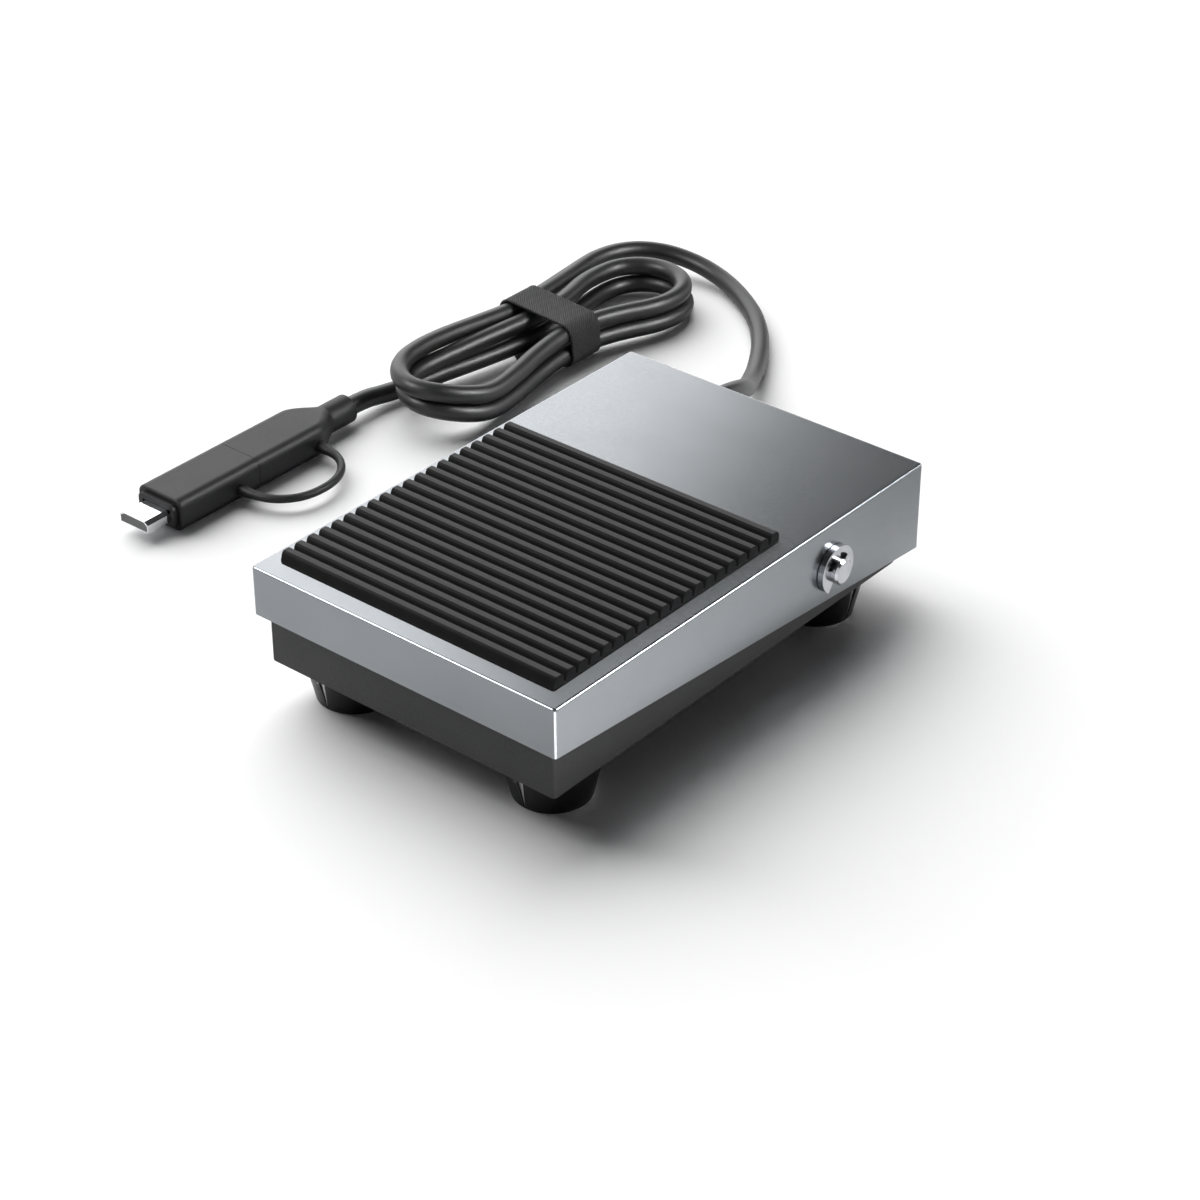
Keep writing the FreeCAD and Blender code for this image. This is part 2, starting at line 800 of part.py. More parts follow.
floor_top = "foot_height + floor_thick"
cheek_top = "pin_z + boss_radius"
foot_spots = {
    "front_left": ("-foot_x", "foot_front_y"), "front_right": ("foot_x", "foot_front_y"),
    "rear_left": ("-foot_x", "foot_rear_y"), "rear_right": ("foot_x", "foot_rear_y"),
}
board_spots = [(x, y) for x in ("board_left + board_inset", "board_right - board_inset")
               for y in ("board_front + board_inset", "board_rear - board_inset")]
clamp_spots = [("exit_x - clamp_reach", "clamp_y"), ("exit_x + clamp_reach", "clamp_y")]
switch_rear = "switch_front + switch_length"
switch_right = "switch_x + switch_thick / 2"
switch_screw_spots = ["switch_front + switch_hole_inset",
                      "switch_front + switch_length - switch_hole_inset"]
clamp_seat = "exit_z - seam_gap"


def base_tray():
    owner = body("base_tray")
    side = outline(sketch_on(owner, "YZ_Plane"), [
        ("base_front", "foot_height"), ("base_rear", "foot_height"), ("base_rear", "wall_top"),
        ("pin_y + cheek_half + cheek_slope", "wall_top"), ("pin_y + cheek_half", cheek_top),
        ("pin_y - cheek_half", cheek_top), ("pin_y - cheek_half - cheek_slope", "wall_top"),
        ("base_front", "wall_top")])
    pad(owner, side, "treadle_width - 2 * base_inset", both_ways=True)
    fillet(owner, "base_corner", upright_corners("base_half", "base_front", "base_rear"))
    fillet(owner, "base_edge", at_level("foot_height"))
    pocket(owner, rectangle(sketch_on(owner, "XY_Plane", floor_top),
                            ("-(base_half - wall)", "base_half - wall"),
                            ("base_front + wall", "base_rear - wall")),
           "plate_top", upward=True)
    for sign in ("", "-"):
        inner = "%s(base_half - boss_depth - wall)" % sign
        face = "%s(base_half - wall / 2)" % sign
        span = (inner, face) if sign == "" else (face, inner)
        rod(owner, "x", "pin_y", "pin_z", "boss_radius", span)
        rib = (inner, "(%s) + wall" % inner) if sign == "" else ("(%s) - wall" % inner, inner)
        block(owner, rib, ("pin_y - boss_radius", "pin_y + boss_radius"),
              ("foot_height + wall / 2", "pin_z"))
    for x, y in foot_spots.values():
        rod(owner, "z", x, y, "foot_boss_radius", (floor_top + " - floor_thick / 2",
                                                   floor_top + " + foot_boss_high"))
    rod(owner, "z", "0", "spring_y", "post_radius",
        (floor_top + " - floor_thick / 2", floor_top + " + post_high"))
    for sign in ("", "-"):
        rod(owner, "z", sign + "stop_x", "down_stop_y", "stop_post_radius",
            (floor_top + " - floor_thick / 2", floor_top + " + down_post_high"))
        rod(owner, "z", sign + "stop_x", "rest_y", "stop_post_radius",
            (floor_top + " - floor_thick / 2", floor_top + " + rest_post_high"))
        rod(owner, "z", sign + "ballast_screw_x", "spring_y", "ballast_boss_radius",
            (floor_top + " - floor_thick / 2", floor_top + " + ballast_thick - fit"))
    for x, y in board_spots:
        rod(owner, "z", x, y, "board_boss_radius", (floor_top + " - floor_thick / 2", "board_under"))
    for x, y in clamp_spots:
        rod(owner, "z", x, y, "clamp_end", (floor_top + " - floor_thick / 2", clamp_seat))
    saddle = ("exit_x - saddle_half", "exit_x + saddle_half")
    block(owner, saddle, ("clamp_y - clamp_half_length", "clamp_y + clamp_half_length"),
          (floor_top + " - floor_thick / 2", "exit_z - cord_radius"))
    block(owner, (switch_right, switch_right + " + bracket_wall"),
          ("switch_front", switch_rear),
          (floor_top + " - floor_thick / 2", "switch_bottom + switch_high"))
    for y in switch_screw_spots:
        rod(owner, "x", y, "switch_bottom + switch_screw_high", "switch_screw_radius + thread_fit",
            (switch_right + " - 1", switch_right + " + bracket_wall + 1"), cut=True)
    for x, y in foot_spots.values():
        rod(owner, "z", x, y, "screw_radius + thread_fit",
            ("foot_height - 1", floor_top + " + foot_boss_high + 1"), cut=True)
    for sign in ("", "-"):
        rod(owner, "z", sign + "ballast_screw_x", "spring_y", "board_screw_radius + thread_fit",
            ("foot_height + floor_thick / 2", floor_top + " + ballast_thick + 1"), cut=True)
    for x, y in board_spots:
        rod(owner, "z", x, y, "board_screw_radius + thread_fit",
            ("foot_height + floor_thick / 2", "board_under + 1"), cut=True)
    for x, y in clamp_spots:
        rod(owner, "z", x, y, "board_screw_radius + thread_fit",
            ("foot_height + floor_thick / 2", "exit_z + 1"), cut=True)
    rod(owner, "x", "pin_y", "pin_z", "bush_radius + fit",
        ("-treadle_width / 2", "treadle_width / 2"), cut=True)
    rod(owner, "y", "exit_x", "exit_z", "boot_base_radius + fit",
        ("base_rear - wall - 1", "base_rear + 1"), cut=True)


def feet():
    for name, (x, y) in foot_spots.items():
        owner = body("foot_" + name)
        cone(owner, "z", x, y, "foot_bottom_radius", "foot_top_radius", ("0", "foot_height"))
        rod(owner, "z", x, y, "foot_recess_radius", ("-1", "foot_recess_depth"), cut=True)
        rod(owner, "z", x, y, "screw_radius + fit", ("foot_recess_depth / 2", "foot_height + 1"), cut=True)
        facet(owner, x, y, rear=name.startswith("rear"))
    together("foot_screws", [
        screw("foot_screw_" + name, "z", x, y, "foot_recess_depth", floor_top + " + foot_boss_high - 0.4",
              "screw_radius", "screw_head_radius", "screw_head") for name, (x, y) in foot_spots.items()])


def facet(owner, x, y, rear):
    # A flat facet down the foot's side, wide at the top and gone at the bottom
    x_sign = "1" if x[0] != "-" else "-1"
    loops = []
    for level, radius, wide, deep in (
            ("foot_height + 0.01", "foot_top_radius", "nick_wide", "nick_deep"),
            ("foot_height * 0.03", "foot_bottom_radius", "nick_wide * 0.06", "nick_deep * 0.06")):
        out = "(%s) + 0.6" % radius
        inside = "(%s) - (%s)" % (radius, deep)
        if rear:
            corners = [("(%s) + %s * (%s)" % (x, x_sign, a), "(%s) + %s * (%s)" % (y, x_sign, b))
                       for a, b in ((inside, "-(%s) / 2" % wide), (out, "-(%s) / 2" % wide),
                                    (out, "(%s) / 2" % wide), (inside, "(%s) / 2" % wide))]
        else:
            corners = [("(%s) + (%s)" % (x, b), "(%s) - (%s)" % (y, a))
                       for a, b in ((inside, "-(%s) / 2" % wide), (out, "-(%s) / 2" % wide),
                                    (out, "(%s) / 2" % wide), (inside, "(%s) / 2" % wide))]
        loops.append(outline(sketch_on(owner, "XY_Plane", level), corners))
    loft = owner.newObject("PartDesign::SubtractiveLoft", owner.Label + "_facet")
    loft.Profile = loops[0]
    loft.Sections = [loops[1]]
    loft.Ruled = True


# Stops, ballast and spring

def stops():
    down = floor_top + " + down_post_high"
    together("down_stops", [
        round_bar("down_stop_" + side, "z", sign + "stop_x", "down_stop_y", "stop_cap_radius",
                  (down, down + " + down_cap_high")) for side, sign in (("left", "-"), ("right", ""))])
    rest = floor_top + " + rest_post_high"
    together("rest_bumpers", [
        round_bar("rest_bumper_" + side, "z", sign + "stop_x", "rest_y", "stop_cap_radius",
                  (rest, plate_under + " - rest_gap")) for side, sign in (("left", "-"), ("right", ""))])


def ballast():
    owner = body("ballast_plate")
    top = floor_top + " + ballast_thick"
    block(owner, ("-ballast_x", "ballast_x"), ("ballast_front", "ballast_rear"), (floor_top, top))
    rod(owner, "z", "0", "spring_y", "ballast_hole", ("foot_height", top + " + 1"), cut=True)
    for sign in ("", "-"):
        rod(owner, "z", sign + "ballast_screw_x", "spring_y", "ballast_boss_radius + ballast_boss_gap",
            ("foot_height", top + " + 1"), cut=True)
    together("ballast_screws", [
        screw("ballast_screw_" + side, "z", sign + "ballast_screw_x", "spring_y", top,
              "foot_height + floor_thick / 2 + 0.3", "board_screw_radius", "ballast_boss_radius + 1.2",
              "board_screw_head") for side, sign in (("left", "-"), ("right", ""))])


def spring():
    guide = body("spring_guide")
    seat = plate_under + " - guide_disc"
    rod(guide, "z", "0", "spring_y", "guide_disc_radius", (seat, plate_under))
    rod(guide, "z", "0", "spring_y", "post_radius", (seat + " - guide_high", seat + " + guide_disc / 2"))
    turns = int(size("spring_turns"))
    steps = int(size("spring_steps"))
    wire = size("spring_wire")
    low = size(floor_top) + wire + size("spring_seat_gap")
    high = size(seat) - wire - size("spring_seat_gap")
    dead = 2.1 * wire
    points = []
    for step in range(turns * steps + 1):
        turn = step / steps
        # The first and last turns lie nearly flat, the turns between climb at a steady rate
        share = min(max((turn - 1) / (turns - 2), 0), 1)
        ends = min(turn, 1) + max(turn - turns + 1, 0)
        height = low + dead * ends + (high - low - 2 * dead) * share
        angle = 2 * math.pi * turn
        points.append(Vector(size("spring_radius") * math.cos(angle),
                             size("spring_y") + size("spring_radius") * math.sin(angle), height))
    edges, radii = tube_path(points)
    coded("return_spring", tube(edges, wire))


# Microswitch on a wall of the base, with its own lever, worked by a screw under the treadle

def microswitch():
    x = ("switch_x - switch_thick / 2", switch_right)
    y = ("switch_front", switch_rear)
    middle = "switch_bottom + switch_case_high"
    top = "switch_bottom + switch_high"
    well_x = (x[0] + " + switch_wall", x[1] + " - switch_wall")
    well_y = ("switch_front + well_front", "switch_front + well_front + well_length")
    screw_z = "switch_bottom + switch_screw_high"
    case = body("switch_case")
    block(case, x, y, ("switch_bottom", middle))
    block(case, well_x, well_y, ("switch_bottom + switch_wall", middle + " + 1"), cut=True)
    terminal_spots = ["switch_front + switch_length / 2 + terminal_pitch * (%d)" % k for k in (-1, 0, 1)]
    for spot in terminal_spots:
        block(case, ("switch_x - terminal_wide / 2 - fit", "switch_x + terminal_wide / 2 + fit"),
              (spot + " - terminal_thick / 2 - fit", spot + " + terminal_thick / 2 + fit"),
              ("switch_bottom - 1", "switch_bottom + switch_wall + fit"), cut=True)
    together("switch_terminals", [
        brick("switch_terminal_%d" % number,
              ("switch_x - terminal_wide / 2", "switch_x + terminal_wide / 2"),
              (spot + " - terminal_thick / 2", spot + " + terminal_thick / 2"),
              ("switch_bottom - terminal_low", "switch_bottom + switch_wall"))
        for number, spot in enumerate(terminal_spots)])
    blade = body("switch_blade")
    blade_z = "switch_bottom + switch_wall + blade_lift"
    blade_x = ("switch_x - blade_half", "switch_x + blade_half")
    blade_y = (well_y[0] + " + blade_end_gap", well_y[1] + " - blade_end_gap")
    block(blade, blade_x, blade_y, (blade_z, blade_z + " + blade_thick"))
    block(blade, blade_x, (blade_y[0], blade_y[0] + " + blade_foot"),
          ("switch_bottom + switch_wall + fit", blade_z + " + blade_thick / 2"))
    cover = body("switch_cover")
    block(cover, x, y, (middle, top))
    block(cover, well_x, well_y, (middle + " - 1", top + " - switch_wall"), cut=True)
    rod(cover, "z", "switch_x", "plunger_y", "plunger_radius + plunger_fit",
        (middle, top + " + 1"), cut=True)
    ear = ("lever_width / 2 + fit", "lever_width / 2 + fit + ear_thick")
    for sign in (1, -1):
        first = "switch_x + (%d) * (%s)" % (sign, ear[0])
        second = "switch_x + (%d) * (%s)" % (sign, ear[1])
        span = (first, second) if sign > 0 else (second, first)
        block(cover, span, ("lever_y - ear_half", "lever_y + ear_half"),
              (top + " - ear_under", "lever_z + ear_over"))
    rod(cover, "x", "lever_y", "lever_z", "hinge_wire",
        ("switch_x - (%s)" % ear[0], "switch_x + (%s)" % ear[0]))
    for spot in switch_screw_spots:
        rod(cover, "x", spot, screw_z, "switch_screw_radius + fit",
            (x[0] + " - 1", x[1] + " + 1"), cut=True)
    together("switch_screws", [
        screw("switch_screw_%d" % number, "x", spot, screw_z, x[0], x[1] + " + bracket_wall - 0.2",
              "switch_screw_radius", "switch_screw_head_radius", "switch_screw_head")
        for number, spot in enumerate(switch_screw_spots)])


def lever_and_plunger():
    # The lever is a straight strip that curls round its own hinge wire
    thick = size("lever_thick")
    inner = size("hinge_wire + fit")
    half = size("lever_width") / 2
    hinge = Vector(size("switch_x") - half, size("lever_y"), size("lever_z"))
    curl = Part.makeCylinder(inner + thick, 2 * half, hinge, Vector(1, 0, 0))
    strip = Part.makeBox(2 * half, size("lever_length"), thick)
    strip.translate(Vector(-half, -size("lever_length"), -thick / 2))
    strip.rotate(Vector(0, 0, 0), Vector(1, 0, 0), -size("lever_angle"))
    strip.translate(Vector(size("switch_x"), size("lever_y"), size("lever_z")))
    eye = Part.makeCylinder(inner, 2 * half + 2, hinge - Vector(1, 0, 0), Vector(1, 0, 0))
    coded("switch_lever", curl.fuse(strip).cut(eye).removeSplitter())
    slope = math.radians(size("lever_angle"))
    distance = (size("lever_y") - size("plunger_y")) / math.cos(slope)
    under = size("lever_z") + distance * math.sin(slope) - thick / 2 / math.cos(slope)
    radius = size("plunger_radius")
    top = under - size("lever_gap") - radius * math.tan(slope)
    low = size("switch_bottom + switch_wall + blade_lift + blade_thick") + size("plunger_travel")
    shape = Part.makeCylinder(radius, top - low, Vector(size("switch_x"), size("plunger_y"), low))
    rim = [edge for edge in shape.Edges if edge.BoundBox.ZMin > top - 1e-4]
    coded("switch_plunger", shape.makeFillet(radius * 0.4, rim))


def striker():
    bracket = body("striker_bracket")
    under = plate_under + " - bracket_thick"
    rear = "striker_y + bracket_half"
    block(bracket, ("switch_x - bracket_half", "switch_x + bracket_half"),
          (rear + " - bracket_length", rear), (under, plate_under))
    rod(bracket, "z", "switch_x", "striker_y", "actuator_radius + thread_fit",
        (under + " - 1", plate_under + " + 1"), cut=True)
    slope = math.radians(size("lever_angle"))
    distance = (size("lever_y") - size("striker_y")) / math.cos(slope)
    touch = size("lever_z") + distance * math.sin(slope) + size("lever_thick") / 2 / math.cos(slope)
    radius = size("actuator_radius")
    low = touch + size("lever_gap") + radius * (1 / math.cos(slope) - 1)
    shape = Part.makeCylinder(radius, size(plate_under) - 0.1 - low - radius,
                              Vector(size("switch_x"), size("striker_y"), low + radius))
    tip = Part.makeSphere(radius, Vector(size("switch_x"), size("striker_y"), low + radius))
    coded("actuator_screw", shape.fuse(tip).removeSplitter())
    nut = primitive("Prism", "lock_nut_blank", Circumradius="nut_across / 2 / cos(30 deg)",
                    Height="nut_high")
    nut.Polygon = 6
    bind(nut, Placement__Base__x="switch_x", Placement__Base__y="striker_y",
         Placement__Base__z=under + " - nut_high")
    register("actuator_lock_nut", subtract("actuator_lock_nut", nut, round_bar(
        "lock_nut_bore", "z", "switch_x", "striker_y", "actuator_radius + thread_fit",
        (under + " - nut_high - 1", plate_under))))


# Circuit board and what it carries

board_top = "board_under + board_thick"


def circuit_board():
    board = body("circuit_board")
    block(board, ("board_left", "board_right"), ("board_front", "board_rear"), ("board_under", board_top))
    for x, y in board_spots:
        rod(board, "z", x, y, "board_screw_radius + fit", ("board_under - 1", board_top + " + 1"), cut=True)
    together("board_screws", [
        screw("board_screw_%d" % number, "z", x, y, board_top, floor_top + " - 0.4", "board_screw_radius",
              "board_screw_head_radius", "board_screw_head") for number, (x, y) in enumerate(board_spots)])
    lift = "leg_thick + 0.05"
    parts = [brick("chip_case", ("chip_x - chip_length / 2", "chip_x + chip_length / 2"),
                   ("chip_y - chip_wide / 2", "chip_y + chip_wide / 2"),
                   (board_top + " + " + lift, board_top + " + chip_high"))]
    count = int(size("leg_count"))
    for number in range(count):
        x = "chip_x + leg_pitch * (%g)" % (number - (count - 1) / 2)
        for sign in (1, -1):
            near_y = "chip_y + (%d) * (chip_wide / 2 - 0.2)" % sign
            far_y = "chip_y + (%d) * (chip_wide / 2 + leg_out)" % sign
            span = (near_y, far_y) if sign > 0 else (far_y, near_y)
            parts.append(brick("chip_leg", (x + " - leg_wide / 2", x + " + leg_wide / 2"), span,
                               (board_top, board_top + " + leg_thick + 0.1")))
    register("controller_chip", join("controller_chip", parts))
    crystal = body("timing_crystal")
    block(crystal, ("crystal_x - crystal_length / 2", "crystal_x + crystal_length / 2"),
          ("crystal_y - crystal_wide / 2", "crystal_y + crystal_wide / 2"),
          (board_top, board_top + " + crystal_high"))
    fillet(crystal, "crystal_wide * 0.42", vertical)
    capacitor_y = "chip_y + chip_wide + capacitor_radius * 2"
    together("board_capacitors", [
        round_bar("capacitor_%d" % number, "z", x, y, "capacitor_radius",
                  (board_top, board_top + " + capacitor_high"))
        for number, (x, y) in enumerate((("chip_x + capacitor_radius * 2", capacitor_y),
                                         ("chip_x + capacitor_radius * 4.4", capacitor_y)))])
    socket = body("board_socket")
    x = ("socket_x - socket_wide / 2", "socket_x + socket_wide / 2")
    rear = "socket_front + socket_length"
    block(socket, x, ("socket_front", rear), (board_top, board_top + " + socket_high"))
    inner_x = (x[0] + " + socket_wall", x[1] + " - socket_wall")
    inner_z = (board_top + " + socket_wall / 2", board_top + " + socket_high - socket_wall")
    block(socket, inner_x, ("socket_front + socket_wall", rear + " + 1"), inner_z, cut=True)
    housing = body("cord_housing")
    front = "socket_front + socket_wall + inner_fit"
    block(housing, (inner_x[0] + " + inner_fit", inner_x[1] + " - inner_fit"),
          (front, front + " + housing_length"), (inner_z[0] + " + inner_fit", inner_z[1] + " - inner_fit"))


def wires():
    front = size("socket_front + socket_wall + inner_fit + housing_length")
    spread = size("wire_spread")
    ends = [(-spread, -spread), (-spread, spread), (spread, spread), (spread, -spread)]
    runs = []
    for number, (aside, above) in enumerate(ends):
        start_x = size("socket_x") + (number - 1.5) * size("wire_pitch")
        end_x = size("exit_x") + aside
        end_z = size("exit_z") + above
        low = size("wire_z")
        beside_pin = size("pin_y + pin_radius / 2")
        edges, radii = tube_path([
            Vector(start_x, front, low), Vector(start_x, beside_pin, low),
            Vector(end_x, size("jacket_end - 3"), end_z), Vector(end_x, size("jacket_end"), end_z)])
        runs.append(tube(edges, size("wire_radius")))
    coded("cord_wires", Part.makeCompound(runs))
    runs = []
    left = size("switch_x - terminal_wide / 2")
    edge_x = size("board_right")
    top = size(board_top)
    low = size("switch_bottom - terminal_low / 2")
    for number in (-1, 0, 1):
        y = size("switch_front + switch_length / 2") + number * size("terminal_pitch")
        pad_y = size("(board_front + board_rear) / 2 + wire_pad_shift") + number * size("wire_pad_pitch")
        arch = top + size("wire_rise")
        inset = size("wire_inset")
        edges, radii = tube_path([
            Vector(left, y, low), Vector(left - size("wire_stub"), y, low),
            Vector(edge_x + size("wire_arrive"), pad_y, top), Vector(edge_x + inset / 2, pad_y, arch),
            Vector(edge_x - inset, pad_y, arch - size("wire_radius") / 2),
            Vector(edge_x - inset, pad_y, top)])
        runs.append(tube(edges, size("wire_radius")))
    coded("switch_wires", Part.makeCompound(runs))


# Cable exit: jacket end, clamp over it, gland with a tapered boot in the rear wall

boot_end = "base_rear + boot_out"


def cable_exit():
    jacket = body("cord_inside")
    rod(jacket, "y", "exit_x", "exit_z", "cord_radius", ("jacket_end", boot_end))
    clamp = body("cord_clamp")
    y = ("clamp_y - clamp_half_length", "clamp_y + clamp_half_length")
    reach = "clamp_reach + clamp_end"
    top = "exit_z + cord_radius + clamp_over"
    block(clamp, ("exit_x - (%s)" % reach, "exit_x + (%s)" % reach), y, (clamp_seat, top))
    rod(clamp, "y", "exit_x", "exit_z", "cord_radius + fit", (y[0] + " - 1", y[1] + " + 1"), cut=True)
    block(clamp, ("exit_x - cord_radius - fit", "exit_x + cord_radius + fit"),
          (y[0] + " - 1", y[1] + " + 1"), ("exit_z - 1", "exit_z"), cut=True)
    for x, spot_y in clamp_spots:
        rod(clamp, "z", x, spot_y, "board_screw_radius + fit",
            (clamp_seat + " - 1", top + " + 1"), cut=True)
    together("clamp_screws", [
        screw("clamp_screw_%d" % number, "z", x, spot_y, top, floor_top + " + 0.6", "board_screw_radius",
              "board_screw_head_radius", "board_screw_head")
        for number, (x, spot_y) in enumerate(clamp_spots)])
    gland = body("cord_gland")
    inside = "base_rear - wall - gland_flange"
    outside = "base_rear + gland_flange"
    rod(gland, "y", "exit_x", "exit_z", "boot_base_radius", (inside, outside))
    rod(gland, "y", "exit_x", "exit_z", "gland_flange_radius - 0.4", (inside, "base_rear - wall - fit"))
    rod(gland, "y", "exit_x", "exit_z", "gland_flange_radius", ("base_rear + fit", outside))
    cone(gland, "y", "exit_x", "exit_z", "boot_base_radius", "boot_tip_radius", (outside, boot_end))
    rod(gland, "y", "exit_x", "exit_z", "cord_radius + gland_fit",
        (inside + " - 1", boot_end + " + 1"), cut=True)


# Free cable, hank and tail: hand-chosen points where it lies free, loops from a formula

lead_points = [
    (-24.0, 60.0, 15.5), (-24.0, 66.8, 15.5), (-24.9, 73.6, 13.9), (-27.4, 80.0, 10.8),
    (-31.1, 86.0, 7.2), (-35.2, 92.7, 4.3), (-39.7, 101.0, 2.6), (-45.8, 110.7, 2.02),
    (-53.2, 119.3, 2.02), (-62.0, 125.9, 2.1), (-70.9, 130.0, 2.7), (-79.2, 130.9, 3.9),
    (-87.1, 128.7, 5.2), (-92.8, 123.2, 6.1), (-95.2, 115.0, 6.45), (-94.3, 105.4, 6.5)]

hank = {
    "waist": (79.0, 88.0),
    "far": [(-90.4, 8.2), (-84.2, 7.45), (-85.1, 2.95)],
    "near": [(-72.3, 7.4), (-71.7, 2.95)],
    "left": [(-79.75, 49.6, 11.95, 10.55, 6.5, 0.68), (-79.2, 49.6, 10.2, 6.42, 2.02, 0.57)],
    "right": [(-79.1, 109.4, 10.3, 6.5), (-78.5, 109.6, 10.2, 2.02)],
    "steps": 6,
}

strap_tail = [(-80.3, 71.6), (-76.4, 80.0), (-84.0, 80.0), (-87.2, 76.4)]

tail_points = [
    (-87.0, 63.6, 2.02), (-89.3, 55.3, 2.02), (-91.7, 47.6, 2.02), (-93.2, 41.7, 2.6),
    (-93.6, 36.6, 3.55), (-93.6, 31.4, 3.55)]


def ease(share):
    return 0.5 - 0.5 * math.cos(math.pi * min(max(share, 0), 1))


def half_turn(centre_x, centre_y, radius, high, low, toward, level=0):
    # The end of a loop: from its far side round to its near side when toward is -1 (left end), or
    # from its near side round to its far side when toward is 1. It comes down late in the turn.
    points = []
    steps = hank["steps"]
    for step in range(steps + 1):
        share = step / steps
        angle = math.pi * share
        points.append((centre_x + toward * radius * math.cos(angle),
                       centre_y + toward * radius * math.sin(angle),
                       high + (low - high) * ease((share - level) / (1 - level))))
    return points


def side(start, stop, shares):
    # Points along a side of the loops, which is drawn in at the waist
    points = []
    for share in shares:
        y, z = [a + (b - a) * share for a, b in zip(start[1:], stop[1:])]
        points.append((start[0] + (stop[0] - start[0]) * ease(share), y, z))
    return points


def hank_points():
    # Each turn runs down the far side, round the left end, up the near side and round the right end
    points = []
    front, rear = hank["waist"]
    for turn, (centre_x, centre_y, radius, high, low, level) in enumerate(hank["left"]):
        far_x, far_z = hank["far"][turn]
        near_x, near_z = hank["near"][turn]
        right_x, right_y, right_radius, right_z = hank["right"][turn]
        left_end = half_turn(centre_x, centre_y, radius, high, low, -1, level)
        right_end = half_turn(right_x, right_y, right_radius, right_z, right_z, 1)
        if turn > 0:
            points += side(points[-1], (far_x, rear, far_z), (0.4, 0.75))
        points += [(far_x, rear, far_z), (far_x, front, far_z)]
        points += side(points[-1], left_end[0], (0.35, 0.7)) + left_end
        points += side(left_end[-1], (near_x, front, near_z), (0.3, 0.65))
        points += [(near_x, front, near_z), (near_x, rear, near_z)]
        points += side(points[-1], right_end[0], (0.35, 0.7)) + right_end
    far_x, far_z = hank["far"][-1]
    points += side(points[-1], (far_x, rear, far_z), (0.4, 0.75))
    return points + [(far_x, rear, far_z), (far_x, front, far_z)]


def cable():
    loops = hank_points()
    route = [Vector(*point) for point in lead_points + loops + tail_points]
    edges, radii = tube_path(route)
    radius = size("cord_radius")
    # Two edges belong to each point between the ends, a straight run and an arc
    first_cut = 2 * (len(lead_points) - 1)
    second_cut = 2 * (len(lead_points) + len(loops) - 1)
    lead_last, hank_first = split_line(edges[first_cut])
    hank_last, tail_first = split_line(edges[second_cut])
    lead = edges[:first_cut] + [lead_last]
    loops_path = [hank_first] + edges[first_cut + 1:second_cut] + [hank_last]
    tail = [tail_first] + edges[second_cut + 1:]
    coded("cord_lead", tube(lead, radius))
    coded("cord_hank", tube(loops_path, radius))
    coded("cord_tail", tube(tail, radius))
    print("cable length %.1f" % sum(edge.Length for edge in edges))
    print("cable radii, least %.1f:" % min(radii), " ".join("%.0f" % value for value in radii))
    print("hank's least gap to itself %.2f" % least_self_gap(loops_path, radius))
    print("cable's least gap to itself %.2f" % least_self_gap(edges, radius))


# Tie strap: a closed band drawn round the five strands at the waist, with its tail on the floor

def drawn_round(centres, radius, y):
    # A closed wire of tangents and arcs round circles whose centres go round against the clock
    spots = [Vector(x, y, z) for x, z in centres]
    normals = []
    for spot, other in zip(spots, spots[1:] + spots[:1]):
        along = (other - spot).normalize()
        normals.append(Vector(along.z, 0, -along.x))
    edges = []
    for index, spot in enumerate(spots):
        before = normals[index - 1]
        after = normals[index]
        middle = (before + after).normalize()
        first, centre, last = [spot + way * radius for way in (before, middle, after)]
        edges.append(Part.Arc(first, centre, last).toShape())
        other = spots[(index + 1) % len(spots)]
        edges.append(Part.LineSegment(last, other + after * radius).toShape())
    return Part.Wire(edges)


def tie_strap():
    snug = size("cord_radius + strap_slack")
    thick = size("strap_thick")
    start = size("strap_y")
    centres = [hank["far"][2], hank["near"][1], hank["near"][0], hank["far"][0]]
    outer = Part.Face(drawn_round(centres, snug + thick, start))
    inner = Part.Face(drawn_round(centres, snug, start))
    band = outer.cut(inner).extrude(Vector(0, size("strap_wide"), 0))
    low = hank["far"][2][1] - snug - thick
    corners = [Vector(x, y, low) for x, y in strap_tail]
    tail = Part.Face(Part.makePolygon(corners + corners[:1])).extrude(Vector(0, 0, thick))
    coded("tie_strap", band.fuse(tail).removeSplitter())


# Plug with its own connector, and the adapter that slides off it

def rounded_profile(sketch, x, z, wide, high, rounding):
    # A rectangle with four equal round corners, in a plane across Y
    left, right = "%s - (%s) / 2" % (x, wide), "%s + (%s) / 2" % (x, wide)
    low, top = "%s - (%s) / 2" % (z, high), "%s + (%s) / 2" % (z, high)
    corners = [
        (left + " + " + rounding, low), (right + " - " + rounding, low), (right, low + " + " + rounding),
        (right, top + " - " + rounding), (right + " - " + rounding, top), (left + " + " + rounding, top),
        (left, top + " - " + rounding), (left, low + " + " + rounding)]
    return outline(sketch, corners, arcs={side: (rounding, 1) for side in (1, 3, 5, 7)})


def prism_y(owner, x, z, wide, high, rounding, y, cut=False):
    # A rounded bar along Y: the sketch plane's normal is -Y, so its level is the span's high end
    sketch = sketch_on(owner, "XZ_Plane", "-(%s)" % y[1])
    rounded_profile(sketch, x, z, wide, high, rounding)
    length = "(%s) - (%s)" % (y[1], y[0])
    if cut:
        return pocket(owner, sketch, length, upward=True)
    return pad(owner, sketch, length)


